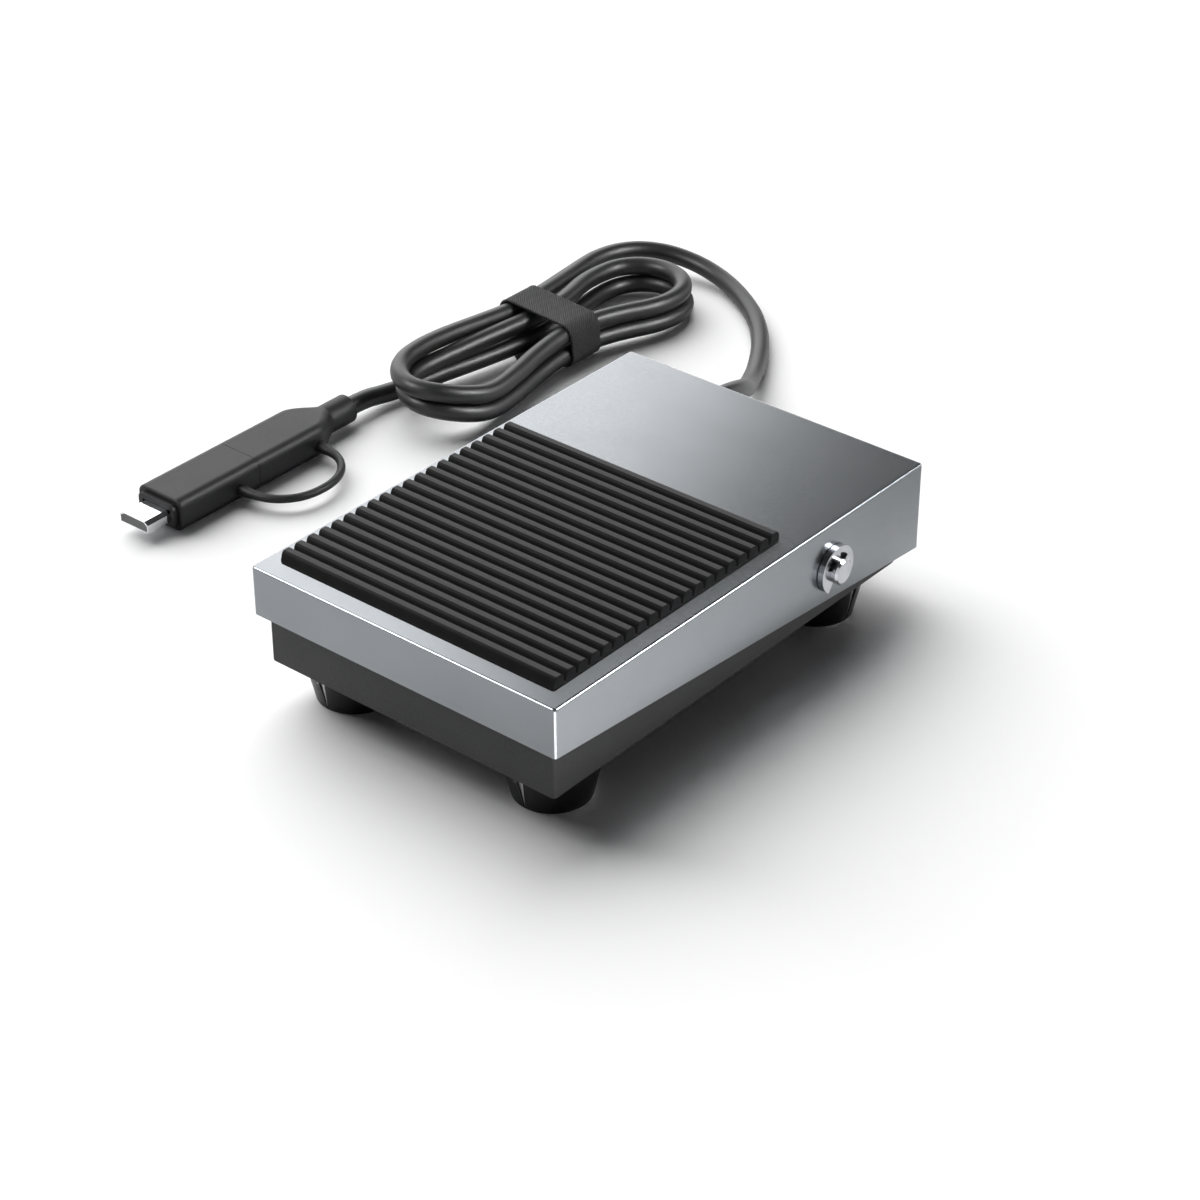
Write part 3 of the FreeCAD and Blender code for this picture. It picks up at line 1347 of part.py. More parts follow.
def plug():
    owner = body("plug_body")
    prism_y(owner, "plug_x", "plug_z", "plug_wide", "plug_high", "plug_round", ("0", "plug_full"))
    sections = []
    for wide, high, rounding, share in (
            ("plug_wide", "plug_high", "plug_round", 0.0),
            ("plug_wide * 0.93", "plug_high * 0.985", "plug_round", 0.25),
            ("plug_wide * 0.62", "neck_radius * 2.15", "neck_radius * 0.8", 0.72),
            ("neck_radius * 2", "neck_radius * 2", "neck_radius * 0.98", 1.0)):
        sketch = sketch_on(owner, "XZ_Plane", "-(plug_full + plug_taper * %g)" % share)
        sections.append(rounded_profile(sketch, "plug_x", "plug_z", wide, high, rounding))
    loft = owner.newObject("PartDesign::AdditiveLoft", "plug_taper")
    loft.Profile = sections[0]
    loft.Sections = sections[1:]
    neck_start = "plug_full + plug_taper"
    rod(owner, "y", "plug_x", "plug_z", "neck_radius", (neck_start, "plug_rear"))
    doc.recompute()
    root = ("-1", "inner_root")
    prism_y(owner, "plug_x", "plug_z", "inner_wide + 2 * fit", "inner_high + 2 * fit",
            "(inner_high + 2 * fit) * 0.48", root, cut=True)
    chamfer(owner, "neck_chamfer", lambda edge: edge.BoundBox.YLength < 1e-6
            and near(edge.BoundBox.YMin, size("plug_rear")))
    shell = body("plug_shell")
    span = ("-inner_out", "inner_root")
    prism_y(shell, "plug_x", "plug_z", "inner_wide", "inner_high", "inner_high * 0.48", span)
    doc.recompute()
    prism_y(shell, "plug_x", "plug_z", "inner_wide - 2 * inner_wall", "inner_high - 2 * inner_wall",
            "(inner_high - 2 * inner_wall) * 0.48", ("-inner_out - 1", "inner_root + 1"), cut=True)
    core = body("plug_core")
    prism_y(core, "plug_x", "plug_z", "inner_wide - 2 * inner_wall - 2 * fit",
            "inner_high - 2 * inner_wall - 2 * fit",
            "(inner_high - 2 * inner_wall - 2 * fit) * 0.48", ("core_recess", "inner_root"))


def adapter():
    owner = body("adapter_body")
    rear = "-seam_gap"
    prism_y(owner, "plug_x", "plug_z", "plug_wide", "plug_high", "plug_round", ("adapter_front", rear))
    prism_y(owner, "plug_x", "plug_z", "collar_wide", "collar_high", "plug_round * 0.6",
            ("adapter_front - collar_out", "adapter_front"))
    doc.recompute()
    hollow_wide = "inner_wide + 2 * slide_fit + 2 * socket_lining + 2 * fit"
    hollow_high = "inner_high + 2 * slide_fit + 2 * socket_lining + 2 * fit"
    prism_y(owner, "plug_x", "plug_z", hollow_wide, hollow_high, "(%s) * 0.48" % hollow_high,
            ("-inner_out - lining_end - fit", "1"), cut=True)
    tip_low = "adapter_front - collar_out"
    root_wide = "tip_wide + 2 * fit"
    root_high = "tip_high + 2 * fit"
    prism_y(owner, "plug_x", "plug_z", root_wide, root_high, "fit * 2",
            (tip_low + " - 1", tip_low + " + tip_root"), cut=True)
    fillet(owner, "adapter_round", lambda edge: edge.BoundBox.YLength < 1e-6 and (
        near(edge.BoundBox.YMin, size("adapter_front")) and edge.BoundBox.XLength > 0.01
        and abs(edge.BoundBox.Center.z - size("plug_z")) > size("collar_high") / 2 + 0.3))
    lining = body("adapter_socket")
    span = ("-inner_out - lining_end", rear + " - lining_recess")
    lining_wide = "inner_wide + 2 * slide_fit + 2 * socket_lining"
    lining_high = "inner_high + 2 * slide_fit + 2 * socket_lining"
    prism_y(lining, "plug_x", "plug_z", lining_wide, lining_high, "(%s) * 0.48" % lining_high, span)
    doc.recompute()
    free_wide = "inner_wide + 2 * slide_fit"
    free_high = "inner_high + 2 * slide_fit"
    prism_y(lining, "plug_x", "plug_z", free_wide, free_high, "(%s) * 0.48" % free_high,
            (span[0] + " + lining_front_wall", "1"), cut=True)
    inner_tongue = body("adapter_inner_tongue")
    tongue_reach = "inner_wide / 2 - inner_tongue_margin"
    block(inner_tongue, ("plug_x - (%s)" % tongue_reach, "plug_x + (%s)" % tongue_reach),
          (span[0] + " + lining_front_wall", "-inner_tongue_end"),
          ("plug_z - inner_tongue_high / 2", "plug_z + inner_tongue_high / 2"))
    tip()


def tip():
    shell = body("adapter_shell")
    front = "adapter_front - collar_out - tip_out"
    root = "adapter_front - collar_out + tip_root"
    tip_outline(shell, "0", (front, root), False)
    doc.recompute()
    tip_outline(shell, "tip_wall", (front + " - 1", root + " + 1"), True)
    core = "adapter_front - collar_out"
    tongue = body("adapter_tongue")
    low = "plug_z - tip_high / 2 + tip_wall + tongue_gap"
    rear = root + " - tongue_root_gap"
    half = "tip_wide / 2 - tip_wall - tongue_margin"
    block(tongue, ("plug_x - (%s)" % half, "plug_x + (%s)" % half), (front + " + tongue_recess", rear),
          (low, low + " + tongue_high"))
    half = "tip_wide / 2 - tip_wall - fit"
    block(tongue, ("plug_x - (%s)" % half, "plug_x + (%s)" % half), (core, rear),
          ("plug_z - tip_high / 2 + tip_wall + fit", low + " + tongue_high / 2"))
    # The tongue's closed front stands in the contact shell's mouth
    tip_outline(tongue, "(tip_wall + fit)", (front + " + face_recess", front + " + tongue_recess + fit"), False)
    count = int(size("pin_count"))
    top = low + " + tongue_high"
    contacts = []
    for number in range(count):
        middle = "plug_x + pin_pitch * (%g)" % (number - (count - 1) / 2)
        contacts.append(brick("adapter_contact_%d" % number,
                              (middle + " - pin_wide / 2", middle + " + pin_wide / 2"),
                              (front + " + contact_recess", core + " - contact_root_gap"),
                              (top, top + " + pin_thick")))
    together("adapter_contacts", contacts)


def tip_outline(owner, inset, y, cut):
    # The contact shell's section: flat below, with its two upper corners cut off
    sketch = sketch_on(owner, "XZ_Plane", "-(%s)" % y[1])
    left, right = "plug_x - tip_wide / 2 + " + inset, "plug_x + tip_wide / 2 - " + inset
    low, top = "plug_z - tip_high / 2 + " + inset, "plug_z + tip_high / 2 - " + inset
    outline(sketch, [
        (left, low), (right, low), (right, top + " - tip_chamfer_high"),
        (right + " - tip_chamfer_wide", top), (left + " + tip_chamfer_wide", top),
        (left, top + " - tip_chamfer_high")])
    length = "(%s) - (%s)" % (y[1], y[0])
    if cut:
        pocket(owner, sketch, length, upward=True)
    else:
        pad(owner, sketch, length)


def tether():
    # A flat bow beside the plug, its ends square to the walls: shares of its reach and of its width
    wall_x = size("plug_x + plug_wide / 2")
    z = size("tether_z")
    front = size("tether_front_y")
    reach = size("tether_reach")
    wide = size("tether_rear_y") - front
    shares = [(0, 0), (0.28, 0), (0.62, 0.055), (0.88, 0.195), (1, 0.367), (1, 0.607), (0.86, 0.795),
              (0.594, 0.938), (0.276, 1), (0, 1)]
    points = [Vector(wall_x + reach * out, front + wide * along, z) for out, along in shares]
    edges, radii = tube_path(points)
    print("tether length %.1f, least radius %.1f" % (sum(edge.Length for edge in edges), min(radii)))
    coded("tether_loop", tube(edges, size("tether_radius")))


treadle_shell()
tread_pad()
base_tray()
feet()
pivot()
stops()
ballast()
spring()
microswitch()
lever_and_plunger()
striker()
circuit_board()
wires()
cable_exit()
cable()
tie_strap()
plug()
adapter()
tether()

doc.recompute()
for item in doc.Objects:
    if "Invalid" in item.State or "Error" in item.State:
        raise RuntimeError("failed feature: %s %s" % (item.Name, item.State))
for label, thing in solids.items():
    shape = thing.Shape
    if shape.isNull() or not shape.isValid() or not shape.Solids:
        raise RuntimeError("bad shape: " + label)
for label, thing in solids.items():
    thing.Shape.exportStep("parts/%s.step" % label)
print("%d nodes" % len(solids))
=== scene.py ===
import math

import bpy
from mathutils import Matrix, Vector


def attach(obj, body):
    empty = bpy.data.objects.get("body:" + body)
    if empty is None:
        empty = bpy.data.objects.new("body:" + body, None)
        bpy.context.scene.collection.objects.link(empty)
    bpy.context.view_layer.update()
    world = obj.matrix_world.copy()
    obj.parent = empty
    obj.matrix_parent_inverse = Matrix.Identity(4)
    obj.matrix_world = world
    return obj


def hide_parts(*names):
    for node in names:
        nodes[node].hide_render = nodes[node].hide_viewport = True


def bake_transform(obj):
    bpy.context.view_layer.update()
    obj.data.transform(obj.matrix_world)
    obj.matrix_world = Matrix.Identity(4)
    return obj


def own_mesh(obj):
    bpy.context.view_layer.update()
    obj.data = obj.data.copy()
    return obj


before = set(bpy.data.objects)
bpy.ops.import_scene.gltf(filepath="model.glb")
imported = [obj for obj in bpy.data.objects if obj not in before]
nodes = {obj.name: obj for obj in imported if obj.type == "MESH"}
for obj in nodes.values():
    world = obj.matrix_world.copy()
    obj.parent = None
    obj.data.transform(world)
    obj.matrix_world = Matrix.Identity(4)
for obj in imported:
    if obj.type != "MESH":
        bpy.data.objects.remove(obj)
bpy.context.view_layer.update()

mm = 0.001
print("frame loaded,", len(nodes), "CAD nodes")


# Camera at the photograph's angle, lens for a square picture
cameraSetup = {
    "place": (300.5, -360.55, 308.1),  # mm
    "azimuth": 39.731,
    "elevation": 32.454,
    "lens": 90.95,
    "sensor": 36,
    "clip": (0.02, 20),  # m
}


def towards(azimuth, elevation):
    turn = math.radians(azimuth)
    tilt = math.radians(elevation)
    return Vector((math.sin(turn) * math.cos(tilt), -math.cos(turn) * math.cos(tilt), math.sin(tilt)))


def addObject(name, data):
    piece = bpy.data.objects.new(name, data)
    bpy.context.scene.collection.objects.link(piece)
    return piece


def addCamera(setup):
    data = bpy.data.cameras.new("photoCamera")
    data.lens = setup["lens"]
    data.sensor_width = setup["sensor"]
    data.clip_start, data.clip_end = setup["clip"]
    camera = addObject("photoCamera", data)
    camera.location = Vector(setup["place"]) * mm
    camera.rotation_mode = "QUATERNION"
    look = -towards(setup["azimuth"], setup["elevation"])
    camera.rotation_quaternion = look.to_track_quat("-Z", "Y")
    bpy.context.scene.camera = camera


addCamera(cameraSetup)
print("camera placed")


# Finishes: each has two tones, a drift of roughness and its own grain
grainSetup = {
    "cloudDetail": 4.0,
    "grainDetail": 2.0,
    "speckScale": 3,  # specks of roughness, as multiples of the finest grain
    "noiseRange": (0.3, 0.7),  # where a noise has most of its values
}


def addNode(tree, kind, inputs=None, **settings):
    node = tree.nodes.new(kind)
    for key, value in settings.items():
        setattr(node, key, value)
    for key, value in (inputs or {}).items():
        node.inputs[key].default_value = value
    return node


def addNoise(tree, place, size, detail):
    noise = addNode(tree, "ShaderNodeTexNoise", {"Scale": 1 / (size * mm), "Detail": detail})
    tree.links.new(place, noise.inputs["Vector"])
    return noise.outputs["Fac"]


def addRange(tree, value, low, high, start=None, stop=None):
    if start is None:
        start, stop = grainSetup["noiseRange"]
    spread = addNode(tree, "ShaderNodeMapRange",
                     {"From Min": start, "From Max": stop, "To Min": low, "To Max": high})
    tree.links.new(value, spread.inputs["Value"])
    return spread.outputs["Result"]


def addMix(tree, share, first, second):
    blend = addNode(tree, "ShaderNodeMix", data_type="RGBA")
    for socket, value in ((blend.inputs[6], first), (blend.inputs[7], second)):
        if isinstance(value, tuple):
            socket.default_value = (*value, 1)
        else:
            tree.links.new(value, socket)
    tree.links.new(share, blend.inputs[0])
    return blend.outputs[2]


def addBump(tree, shader, height, depth):
    bump = addNode(tree, "ShaderNodeBump", {"Distance": depth * mm})
    tree.links.new(height, bump.inputs["Height"])
    if shader.inputs["Normal"].links:
        tree.links.new(shader.inputs["Normal"].links[0].from_socket, bump.inputs["Normal"])
    tree.links.new(bump.outputs["Normal"], shader.inputs["Normal"])


def addProduct(tree, first, second):
    product = addNode(tree, "ShaderNodeMath", operation="MULTIPLY")
    tree.links.new(first, product.inputs[0])
    tree.links.new(second, product.inputs[1])
    return product.outputs[0]


def addNormalZ(tree, kind):
    facing = addNode(tree, "ShaderNodeSeparateXYZ")
    tree.links.new(addNode(tree, "ShaderNodeNewGeometry").outputs[kind], facing.inputs["Vector"])
    return facing.outputs["Z"]


def makeFinish(name, tones, cloud, rough, grains, **fixed):
    finish = bpy.data.materials.new(name)
    finish.use_nodes = True
    tree = finish.node_tree
    shader = tree.nodes["Principled BSDF"]
    place = addNode(tree, "ShaderNodeTexCoord").outputs["Object"]
    drift = addNoise(tree, place, cloud, grainSetup["cloudDetail"])
    tree.links.new(addMix(tree, addRange(tree, drift, 0, 1), *tones), shader.inputs["Base Color"])
    speck = addNoise(tree, place, grains[0][0] * grainSetup["speckScale"], grainSetup["grainDetail"])
    tree.links.new(addRange(tree, speck, *rough), shader.inputs["Roughness"])
    for size, depth in grains:
        addBump(tree, shader, addNoise(tree, place, size, grainSetup["grainDetail"]), depth)
    for key, value in fixed.items():
        shader.inputs[key.replace("_", " ")].default_value = value
    return finish, tree, shader, place


def plain(*values, **more):
    return makeFinish(*values, **more)[0]


# for each: both tones, size of their clouds in mm, roughness, grains as size and depth in mm
finishes = {
    "blastedShell": plain("blastedShell", ((0.247, 0.262, 0.277), (0.265, 0.28, 0.295)), 14,
                          (0.22, 0.27), ((0.24, 0.0014), (0.7, 0.0016)), Metallic=0.85),
    "trayPlastic": plain("trayPlastic", ((0.036, 0.036, 0.037), (0.044, 0.044, 0.045)), 9,
                         (0.55, 0.68), ((0.16, 0.008), (0.6, 0.006)), IOR=1.46),
    "cableJacket": plain("cableJacket", ((0.015, 0.015, 0.016), (0.02, 0.02, 0.021)), 7,
                         (0.4, 0.46), ((0.14, 0.003), (1.2, 0.006)), IOR=1.5),
    "plugSkin": plain("plugSkin", ((0.014, 0.014, 0.015), (0.018, 0.018, 0.019)), 8,
                      (0.46, 0.54), ((0.1, 0.003), (0.7, 0.003)), IOR=1.36),
    "pinSteel": plain("pinSteel", ((0.42, 0.43, 0.45), (0.48, 0.49, 0.51)), 3,
                      (0.12, 0.2), ((0.4, 0.0015), (1.5, 0.002)), Metallic=1.0),
    "tongueResin": plain("tongueResin", ((0.20, 0.20, 0.20), (0.23, 0.23, 0.23)), 2,
                         (0.45, 0.55), ((0.1, 0.002), (0.6, 0.002))),
    "brightSteel": plain("brightSteel", ((0.72, 0.73, 0.75), (0.78, 0.79, 0.80)), 3,
                         (0.06, 0.14), ((0.4, 0.0015), (1.5, 0.002)), Metallic=1.0),
    "zincSteel": plain("zincSteel", ((0.45, 0.46, 0.45), (0.58, 0.57, 0.52)), 1.6,
                       (0.24, 0.42), ((0.2, 0.003), (0.9, 0.004)), Metallic=1.0),
    "contactBrass": plain("contactBrass", ((0.78, 0.56, 0.24), (0.86, 0.66, 0.33)), 1.2,
                          (0.16, 0.3), ((0.15, 0.002),), Metallic=1.0),
    "chipEpoxy": plain("chipEpoxy", ((0.012, 0.012, 0.013), (0.02, 0.02, 0.021)), 1.0,
                       (0.5, 0.65), ((0.05, 0.004),)),
    "capacitorClay": plain("capacitorClay", ((0.36, 0.24, 0.13), (0.46, 0.33, 0.2)), 0.5,
                           (0.35, 0.5), ((0.08, 0.004),)),
    "socketNylon": plain("socketNylon", ((0.72, 0.71, 0.66), (0.8, 0.79, 0.75)), 2.5,
                         (0.35, 0.5), ((0.2, 0.005),), Subsurface_Weight=0.1),
    "switchPhenolic": plain("switchPhenolic", ((0.014, 0.013, 0.013), (0.024, 0.022, 0.021)), 2.0,
                            (0.42, 0.55), ((0.12, 0.005),)),
    "bushNylon": plain("bushNylon", ((0.55, 0.54, 0.5), (0.65, 0.64, 0.6)), 2.0,
                       (0.35, 0.48), ((0.2, 0.004),)),
    "glueFilm": plain("glueFilm", ((0.5, 0.49, 0.45), (0.6, 0.59, 0.55)), 3.0,
                      (0.3, 0.5), ((0.3, 0.01),), Transmission_Weight=0.5),
}
print("plain finishes made")


# Tread rubber: near black; the up-facing tops of its crests are painted paler in patches, a painted
# highlight
treadLook = {
    "tones": ((0.010, 0.010, 0.010), (0.015, 0.015, 0.015)),
    "cloud": 6,  # mm
    "rough": (0.5, 0.58),
    "grains": ((0.12, 0.003), (0.8, 0.003)),
    "ior": 1.15,
    "litCrest": (0.047, 0.047, 0.048),
    "crest": (0.9, 0.985),  # the normal's Z where the painted crest highlight starts and is full
    "patch": 1.4,  # mm, size of the patches in the painted crest highlight
    "patchShare": (0.85, 1),
}


def treadFinish(look):
    finish, tree, shader, place = makeFinish("treadRubber", look["tones"], look["cloud"], look["rough"],
                                             look["grains"], IOR=look["ior"])
    rubber = shader.inputs["Base Color"].links[0].from_socket
    # painted highlight: faces whose normal points up get the paler crest tone
    litCrest = addRange(tree, addNormalZ(tree, "Normal"), 0, 1, *look["crest"])
    patches = addNoise(tree, place, look["patch"], grainSetup["cloudDetail"])
    paintedCrestLight = addProduct(tree, litCrest, addRange(tree, patches, *look["patchShare"]))
    tree.links.new(addMix(tree, paintedCrestLight, rubber, look["litCrest"]), shader.inputs["Base Color"])
    return finish


finishes["treadRubber"] = treadFinish(treadLook)


# Feet: near-black rubber; the flat down each foot's side is a pale metallic mirror, a painted reflection
# that shows a bright wedge
footLook = {
    "tones": ((0.003, 0.003, 0.003), (0.005, 0.005, 0.005)),
    "cloud": 5,  # mm
    "rough": (0.35, 0.42),
    "grains": ((0.3, 0.002), (2.0, 0.004)),
    "ior": 1.35,
    "flat": (0.6, 0.6, 0.61),
    "flatLean": (-0.19, -0.12),  # the flat's normal lies between these in Z, the cone's below them
    "edge": 0.01,  # how softly that range ends
}


def footFinish(look):
    finish, tree, shader, _ = makeFinish("footRubber", look["tones"], look["cloud"], look["rough"],
                                         look["grains"], IOR=look["ior"])
    rubber = shader.inputs["Base Color"].links[0].from_socket
    lean = addNormalZ(tree, "True Normal")
    low, high = look["flatLean"]
    above = addRange(tree, lean, 0, 1, low, low + look["edge"])
    below = addRange(tree, lean, 1, 0, high - look["edge"], high)
    onFlat = addProduct(tree, above, below)
    # painted reflection: the flat gets a pale tone and turns metallic, so it mirrors the bright floor as
    # a wedge
    tree.links.new(addMix(tree, onFlat, rubber, look["flat"]), shader.inputs["Base Color"])
    tree.links.new(onFlat, shader.inputs["Metallic"])
    return finish


finishes["footRubber"] = footFinish(footLook)


# Circuit board: green lacquer with lighter tracks under it
boardLook = {
    "lacquer": (0.006, 0.09, 0.035),
    "track": (0.012, 0.16, 0.06),
    "cloud": 3.0,  # mm
    "rough": (0.2, 0.32),
    "grains": ((0.3, 0.004),),
    "trackPitch": 1.3,
    "trackEdge": (0.06, 0.1),
    "trackDepth": 0.03,
}


def boardFinish(look):
    tones = (look["lacquer"], look["lacquer"])
    finish, tree, shader, place = makeFinish("boardLacquer", tones, look["cloud"], look["rough"],
                                             look["grains"])
    cells = addNode(tree, "ShaderNodeTexVoronoi", {"Scale": 1 / (look["trackPitch"] * mm)},
                    feature="DISTANCE_TO_EDGE")
    tree.links.new(place, cells.inputs["Vector"])
    edge = addRange(tree, cells.outputs["Distance"], 1, 0, *look["trackEdge"])
    tree.links.new(addMix(tree, edge, look["lacquer"], look["track"]), shader.inputs["Base Color"])
    addBump(tree, shader, edge, look["trackDepth"])
    return finish


finishes["boardLacquer"] = boardFinish(boardLook)


# Wires: one sleeve colour for each wire of a bundle
wireLook = {
    "sleeves": ((0.45, 0.02, 0.015), (0.02, 0.02, 0.022), (0.55, 0.55, 0.53), (0.02, 0.2, 0.05)),
    "cloud": 2.0,  # mm
    "rough": (0.3, 0.42),
    "grains": ((0.2, 0.003),),
}


def wireFinish(look):
    finish, tree, shader, _ = makeFinish("wireSleeve", look["sleeves"][:2], look["cloud"], look["rough"],
                                         look["grains"])
    island = addNode(tree, "ShaderNodeNewGeometry").outputs["Random Per Island"]
    ramp = addNode(tree, "ShaderNodeValToRGB")
    ramp.color_ramp.interpolation = "CONSTANT"
    for number, sleeve in enumerate(look["sleeves"]):
        stops = ramp.color_ramp.elements
        stop = stops[number] if number < 2 else stops.new(0.5)  # a new ramp has two stops
        stop.position = number / len(look["sleeves"])
        stop.color = (*sleeve, 1)
    tree.links.new(island, ramp.inputs["Fac"])
    tree.links.new(ramp.outputs["Color"], shader.inputs["Base Color"])
    return finish


finishes["wireSleeve"] = wireFinish(wireLook)


# Strap webbing: twill lines across the band, as a bump and as painted light and shade, a darker tone in
# the grooves and a lighter one on the raised threads, with a thread along each edge
weaveLook = {
    "shade": (0.012, 0.012, 0.013),
    "litThread": (0.055, 0.055, 0.057),
    "cloud": 2.0,  # mm
    "rough": (0.65, 0.8),
    "grains": ((0.12, 0.02),),
    "ior": 1.4,
    "pitch": 0.46,  # between twill lines
    "slant": 45,  # degrees
    "wobble": {"Distortion": 0.6, "Detail": 1.0, "Detail Scale": 2.0},
    "fuzz": 0.25,
    "fuzzDetail": 3.0,
    "fuzzShare": (0.6, 1.1),
    "depth": 0.12,
}


def weaveFinish(look):
    tones = (look["shade"], look["litThread"])
    finish, tree, shader, place = makeFinish("strapWeave", tones, look["cloud"], look["rough"],
                                             look["grains"], IOR=look["ior"])
    across = addNode(tree, "ShaderNodeUVMap").outputs["UV"]
    turned = addNode(tree, "ShaderNodeMapping", {"Rotation": (0, 0, math.radians(look["slant"]))})
    tree.links.new(across, turned.inputs["Vector"])
    waveScale = math.pi / 10 / (look["pitch"] * mm)  # a wave texture's period is pi / 10 at scale 1
    twill = addNode(tree, "ShaderNodeTexWave", {"Scale": waveScale, **look["wobble"]})
    tree.links.new(turned.outputs["Vector"], twill.inputs["Vector"])
    fuzz = addNoise(tree, place, look["fuzz"], look["fuzzDetail"])
    # painted light and shade: the raised twill threads get the lighter tone, the grooves the darker
    raisedLight = addProduct(tree, twill.outputs["Fac"], addRange(tree, fuzz, *look["fuzzShare"]))
    tree.links.new(addMix(tree, raisedLight, look["shade"], look["litThread"]), shader.inputs["Base Color"])
    addBump(tree, shader, twill.outputs["Fac"], look["depth"])
    return finish


finishes["strapWeave"] = weaveFinish(weaveLook)
print("patterned finishes made")


# CAD nodes keep their shapes and take these finishes
nodeFinishes = {
    "blastedShell": ("treadle_shell",),
    "treadRubber": ("tread_pad", "rest_bumpers", "down_stops"),
    "footRubber": ("foot_front_left", "foot_front_right", "foot_rear_left", "foot_rear_right"),
    "trayPlastic": ("base_tray", "cord_clamp", "spring_guide"),
    "cableJacket": ("cord_gland", "cord_inside", "cord_lead", "cord_hank", "cord_tail"),
    "plugSkin": ("plug_body", "adapter_body", "tether_loop"),
    "brightSteel": ("adapter_shell", "plug_shell", "timing_crystal"),
    "pinSteel": ("pivot_pin", "retaining_clips"),
    "tongueResin": ("adapter_tongue",),
    "zincSteel": ("actuator_lock_nut", "actuator_screw", "ballast_plate", "ballast_screws",
                  "board_screws", "clamp_screws", "foot_screws", "switch_screws", "striker_bracket",
                  "return_spring", "switch_lever"),
    "contactBrass": ("adapter_contacts", "switch_blade", "switch_terminals"),
    "boardLacquer": ("circuit_board",),
    "chipEpoxy": ("controller_chip", "adapter_inner_tongue", "plug_core", "adapter_socket"),
    "capacitorClay": ("board_capacitors",),
    "socketNylon": ("board_socket", "cord_housing", "switch_plunger"),
    "switchPhenolic": ("switch_case", "switch_cover"),
    "bushNylon": ("pivot_bush_left", "pivot_bush_right"),
    "glueFilm": ("pad_adhesive",),
    "wireSleeve": ("cord_wires", "switch_wires"),
    "strapWeave": ("tie_strap",),
}


def dressNodes(table):
    dressed = set()
    for finishName, members in table.items():
        for member in members:
            data = nodes[member].data
            data.materials.clear()
            data.materials.append(finishes[finishName])
            dressed.add(member)
    print("finishes on", len(dressed), "CAD nodes; without one:", sorted(set(nodes) - dressed))


dressNodes(nodeFinishes)


# Cable: one smooth line from the boot through the tied hank to the plug
cableSetup = {
    "radius": 2.0,  # mm, as all lengths here
    "length": 581.8,
    "exit": (-24, 60, 15.5),
    "lead": ((-24, 60, 15.5), (-24, 66.8, 15.5), (-24.9, 73.6, 13.9), (-27.4, 80, 10.8),
             (-31.1, 86, 7.2), (-35.2, 92.7, 4.3), (-39.7, 101, 2.6), (-45.8, 110.7, 2.02),
             (-53.2, 119.3, 2.02), (-62, 125.9, 2.1), (-70.9, 130, 2.7), (-79.2, 130.9, 3.9),
             (-87.1, 128.7, 5.2), (-92.8, 123.2, 6.1), (-95.2, 115, 6.45), (-94.3, 105.4, 6.5)),
    "topTurn": ((-90.4, 88, 8.2), (-90.4, 79, 8.2), (-90.9, 68.7, 9.1), (-91.5, 58.4, 9.95),
                (-91.1, 49.6, 10.5), (-89.5, 43.4, 10.5), (-85.4, 38.8, 10.5),
                (-80.2, 37.4, 10.4), (-75.2, 40.0, 9.8), (-71.9, 45.2, 8.3),
                (-70.8, 51.2, 6.8), (-72.0, 59.6, 6.9), (-74.2, 68.9, 7.1), (-75.4, 79, 7.4),
                (-75.0, 88, 7.4), (-72.8, 95.49, 7.08), (-69.52, 102.98, 6.77), (-68.8, 109.4, 6.5),
                (-70.18, 114.55, 6.5), (-73.95, 118.32, 6.5), (-79.1, 119.7, 6.5),
                (-84.25, 118.32, 6.5), (-88.02, 114.55, 6.5), (-89.4, 109.4, 6.5),
                (-88.9, 101.6, 6.88), (-86.5, 94.2, 7.3)),
    "lowTurn": ((-85.2, 88, 7.5), (-85.6, 79, 7.6), (-86.9, 68.7, 7.5), (-88.6, 58.4, 6.95),
                (-89.6, 49.2, 6.75), (-88.2, 43.4, 6.65), (-84.4, 39.4, 6.6),
                (-79.4, 38.2, 6.4), (-74.9, 40.6, 5.5), (-71.8, 45.4, 4.0), (-70.8, 51.0, 2.6),
                (-72.0, 59.6, 2.4), (-74.0, 68.9, 2.62), (-75.0, 79, 2.95), (-74.6, 88, 3.1),
                (-72.3, 95.56, 3.0), (-69, 103.12, 2.75), (-68.3, 109.6, 2.55),
                (-69.67, 114.7, 2.5), (-73.4, 118.43, 2.5), (-78.5, 119.8, 2.5),
                (-83.6, 118.43, 2.4), (-87.33, 114.7, 2.2), (-88.7, 109.6, 2.02),
                (-87.46, 100.96, 2.39), (-85.63, 93.4, 2.72), (-85.1, 88, 2.95), (-85.1, 79, 2.95)),
    "tail": ((-87.6, 63.6, 3.1), (-89.9, 55.3, 2.8), (-91.9, 47.6, 2.4), (-93.2, 41.7, 2.6),
             (-93.6, 36.6, 3.55), (-93.6, 31.4, 3.55)),
}


lineSteps = {"along": 10, "round": 8}


def smoothLine(name, route, radius, swell=None):
    data = bpy.data.curves.new(name, "CURVE")
    data.dimensions = "3D"
    line = data.splines.new("NURBS")
    line.points.add(len(route) - 1)
    for number, (point, spot) in enumerate(zip(line.points, route)):
        point.co = (*(Vector(spot) * mm), 1)
        point.radius = swell[number] if swell else 1.0
    line.order_u = 3
    line.use_endpoint_u = True
    line.resolution_u = lineSteps["along"]
    data.bevel_depth = radius * mm
    data.bevel_resolution = lineSteps["round"]
    data.use_fill_caps = True
    return addObject(name, data)


def addCable(setup):
    route = setup["lead"] + setup["topTurn"] + setup["lowTurn"] + setup["tail"]
    cable = smoothLine("cable", route, setup["radius"])
    cable.data.materials.append(finishes["cableJacket"])
    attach(cable, "root")
    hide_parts("cord_lead", "cord_hank", "cord_tail")
    return cable


cable = addCable(cableSetup)
print("cable laid")


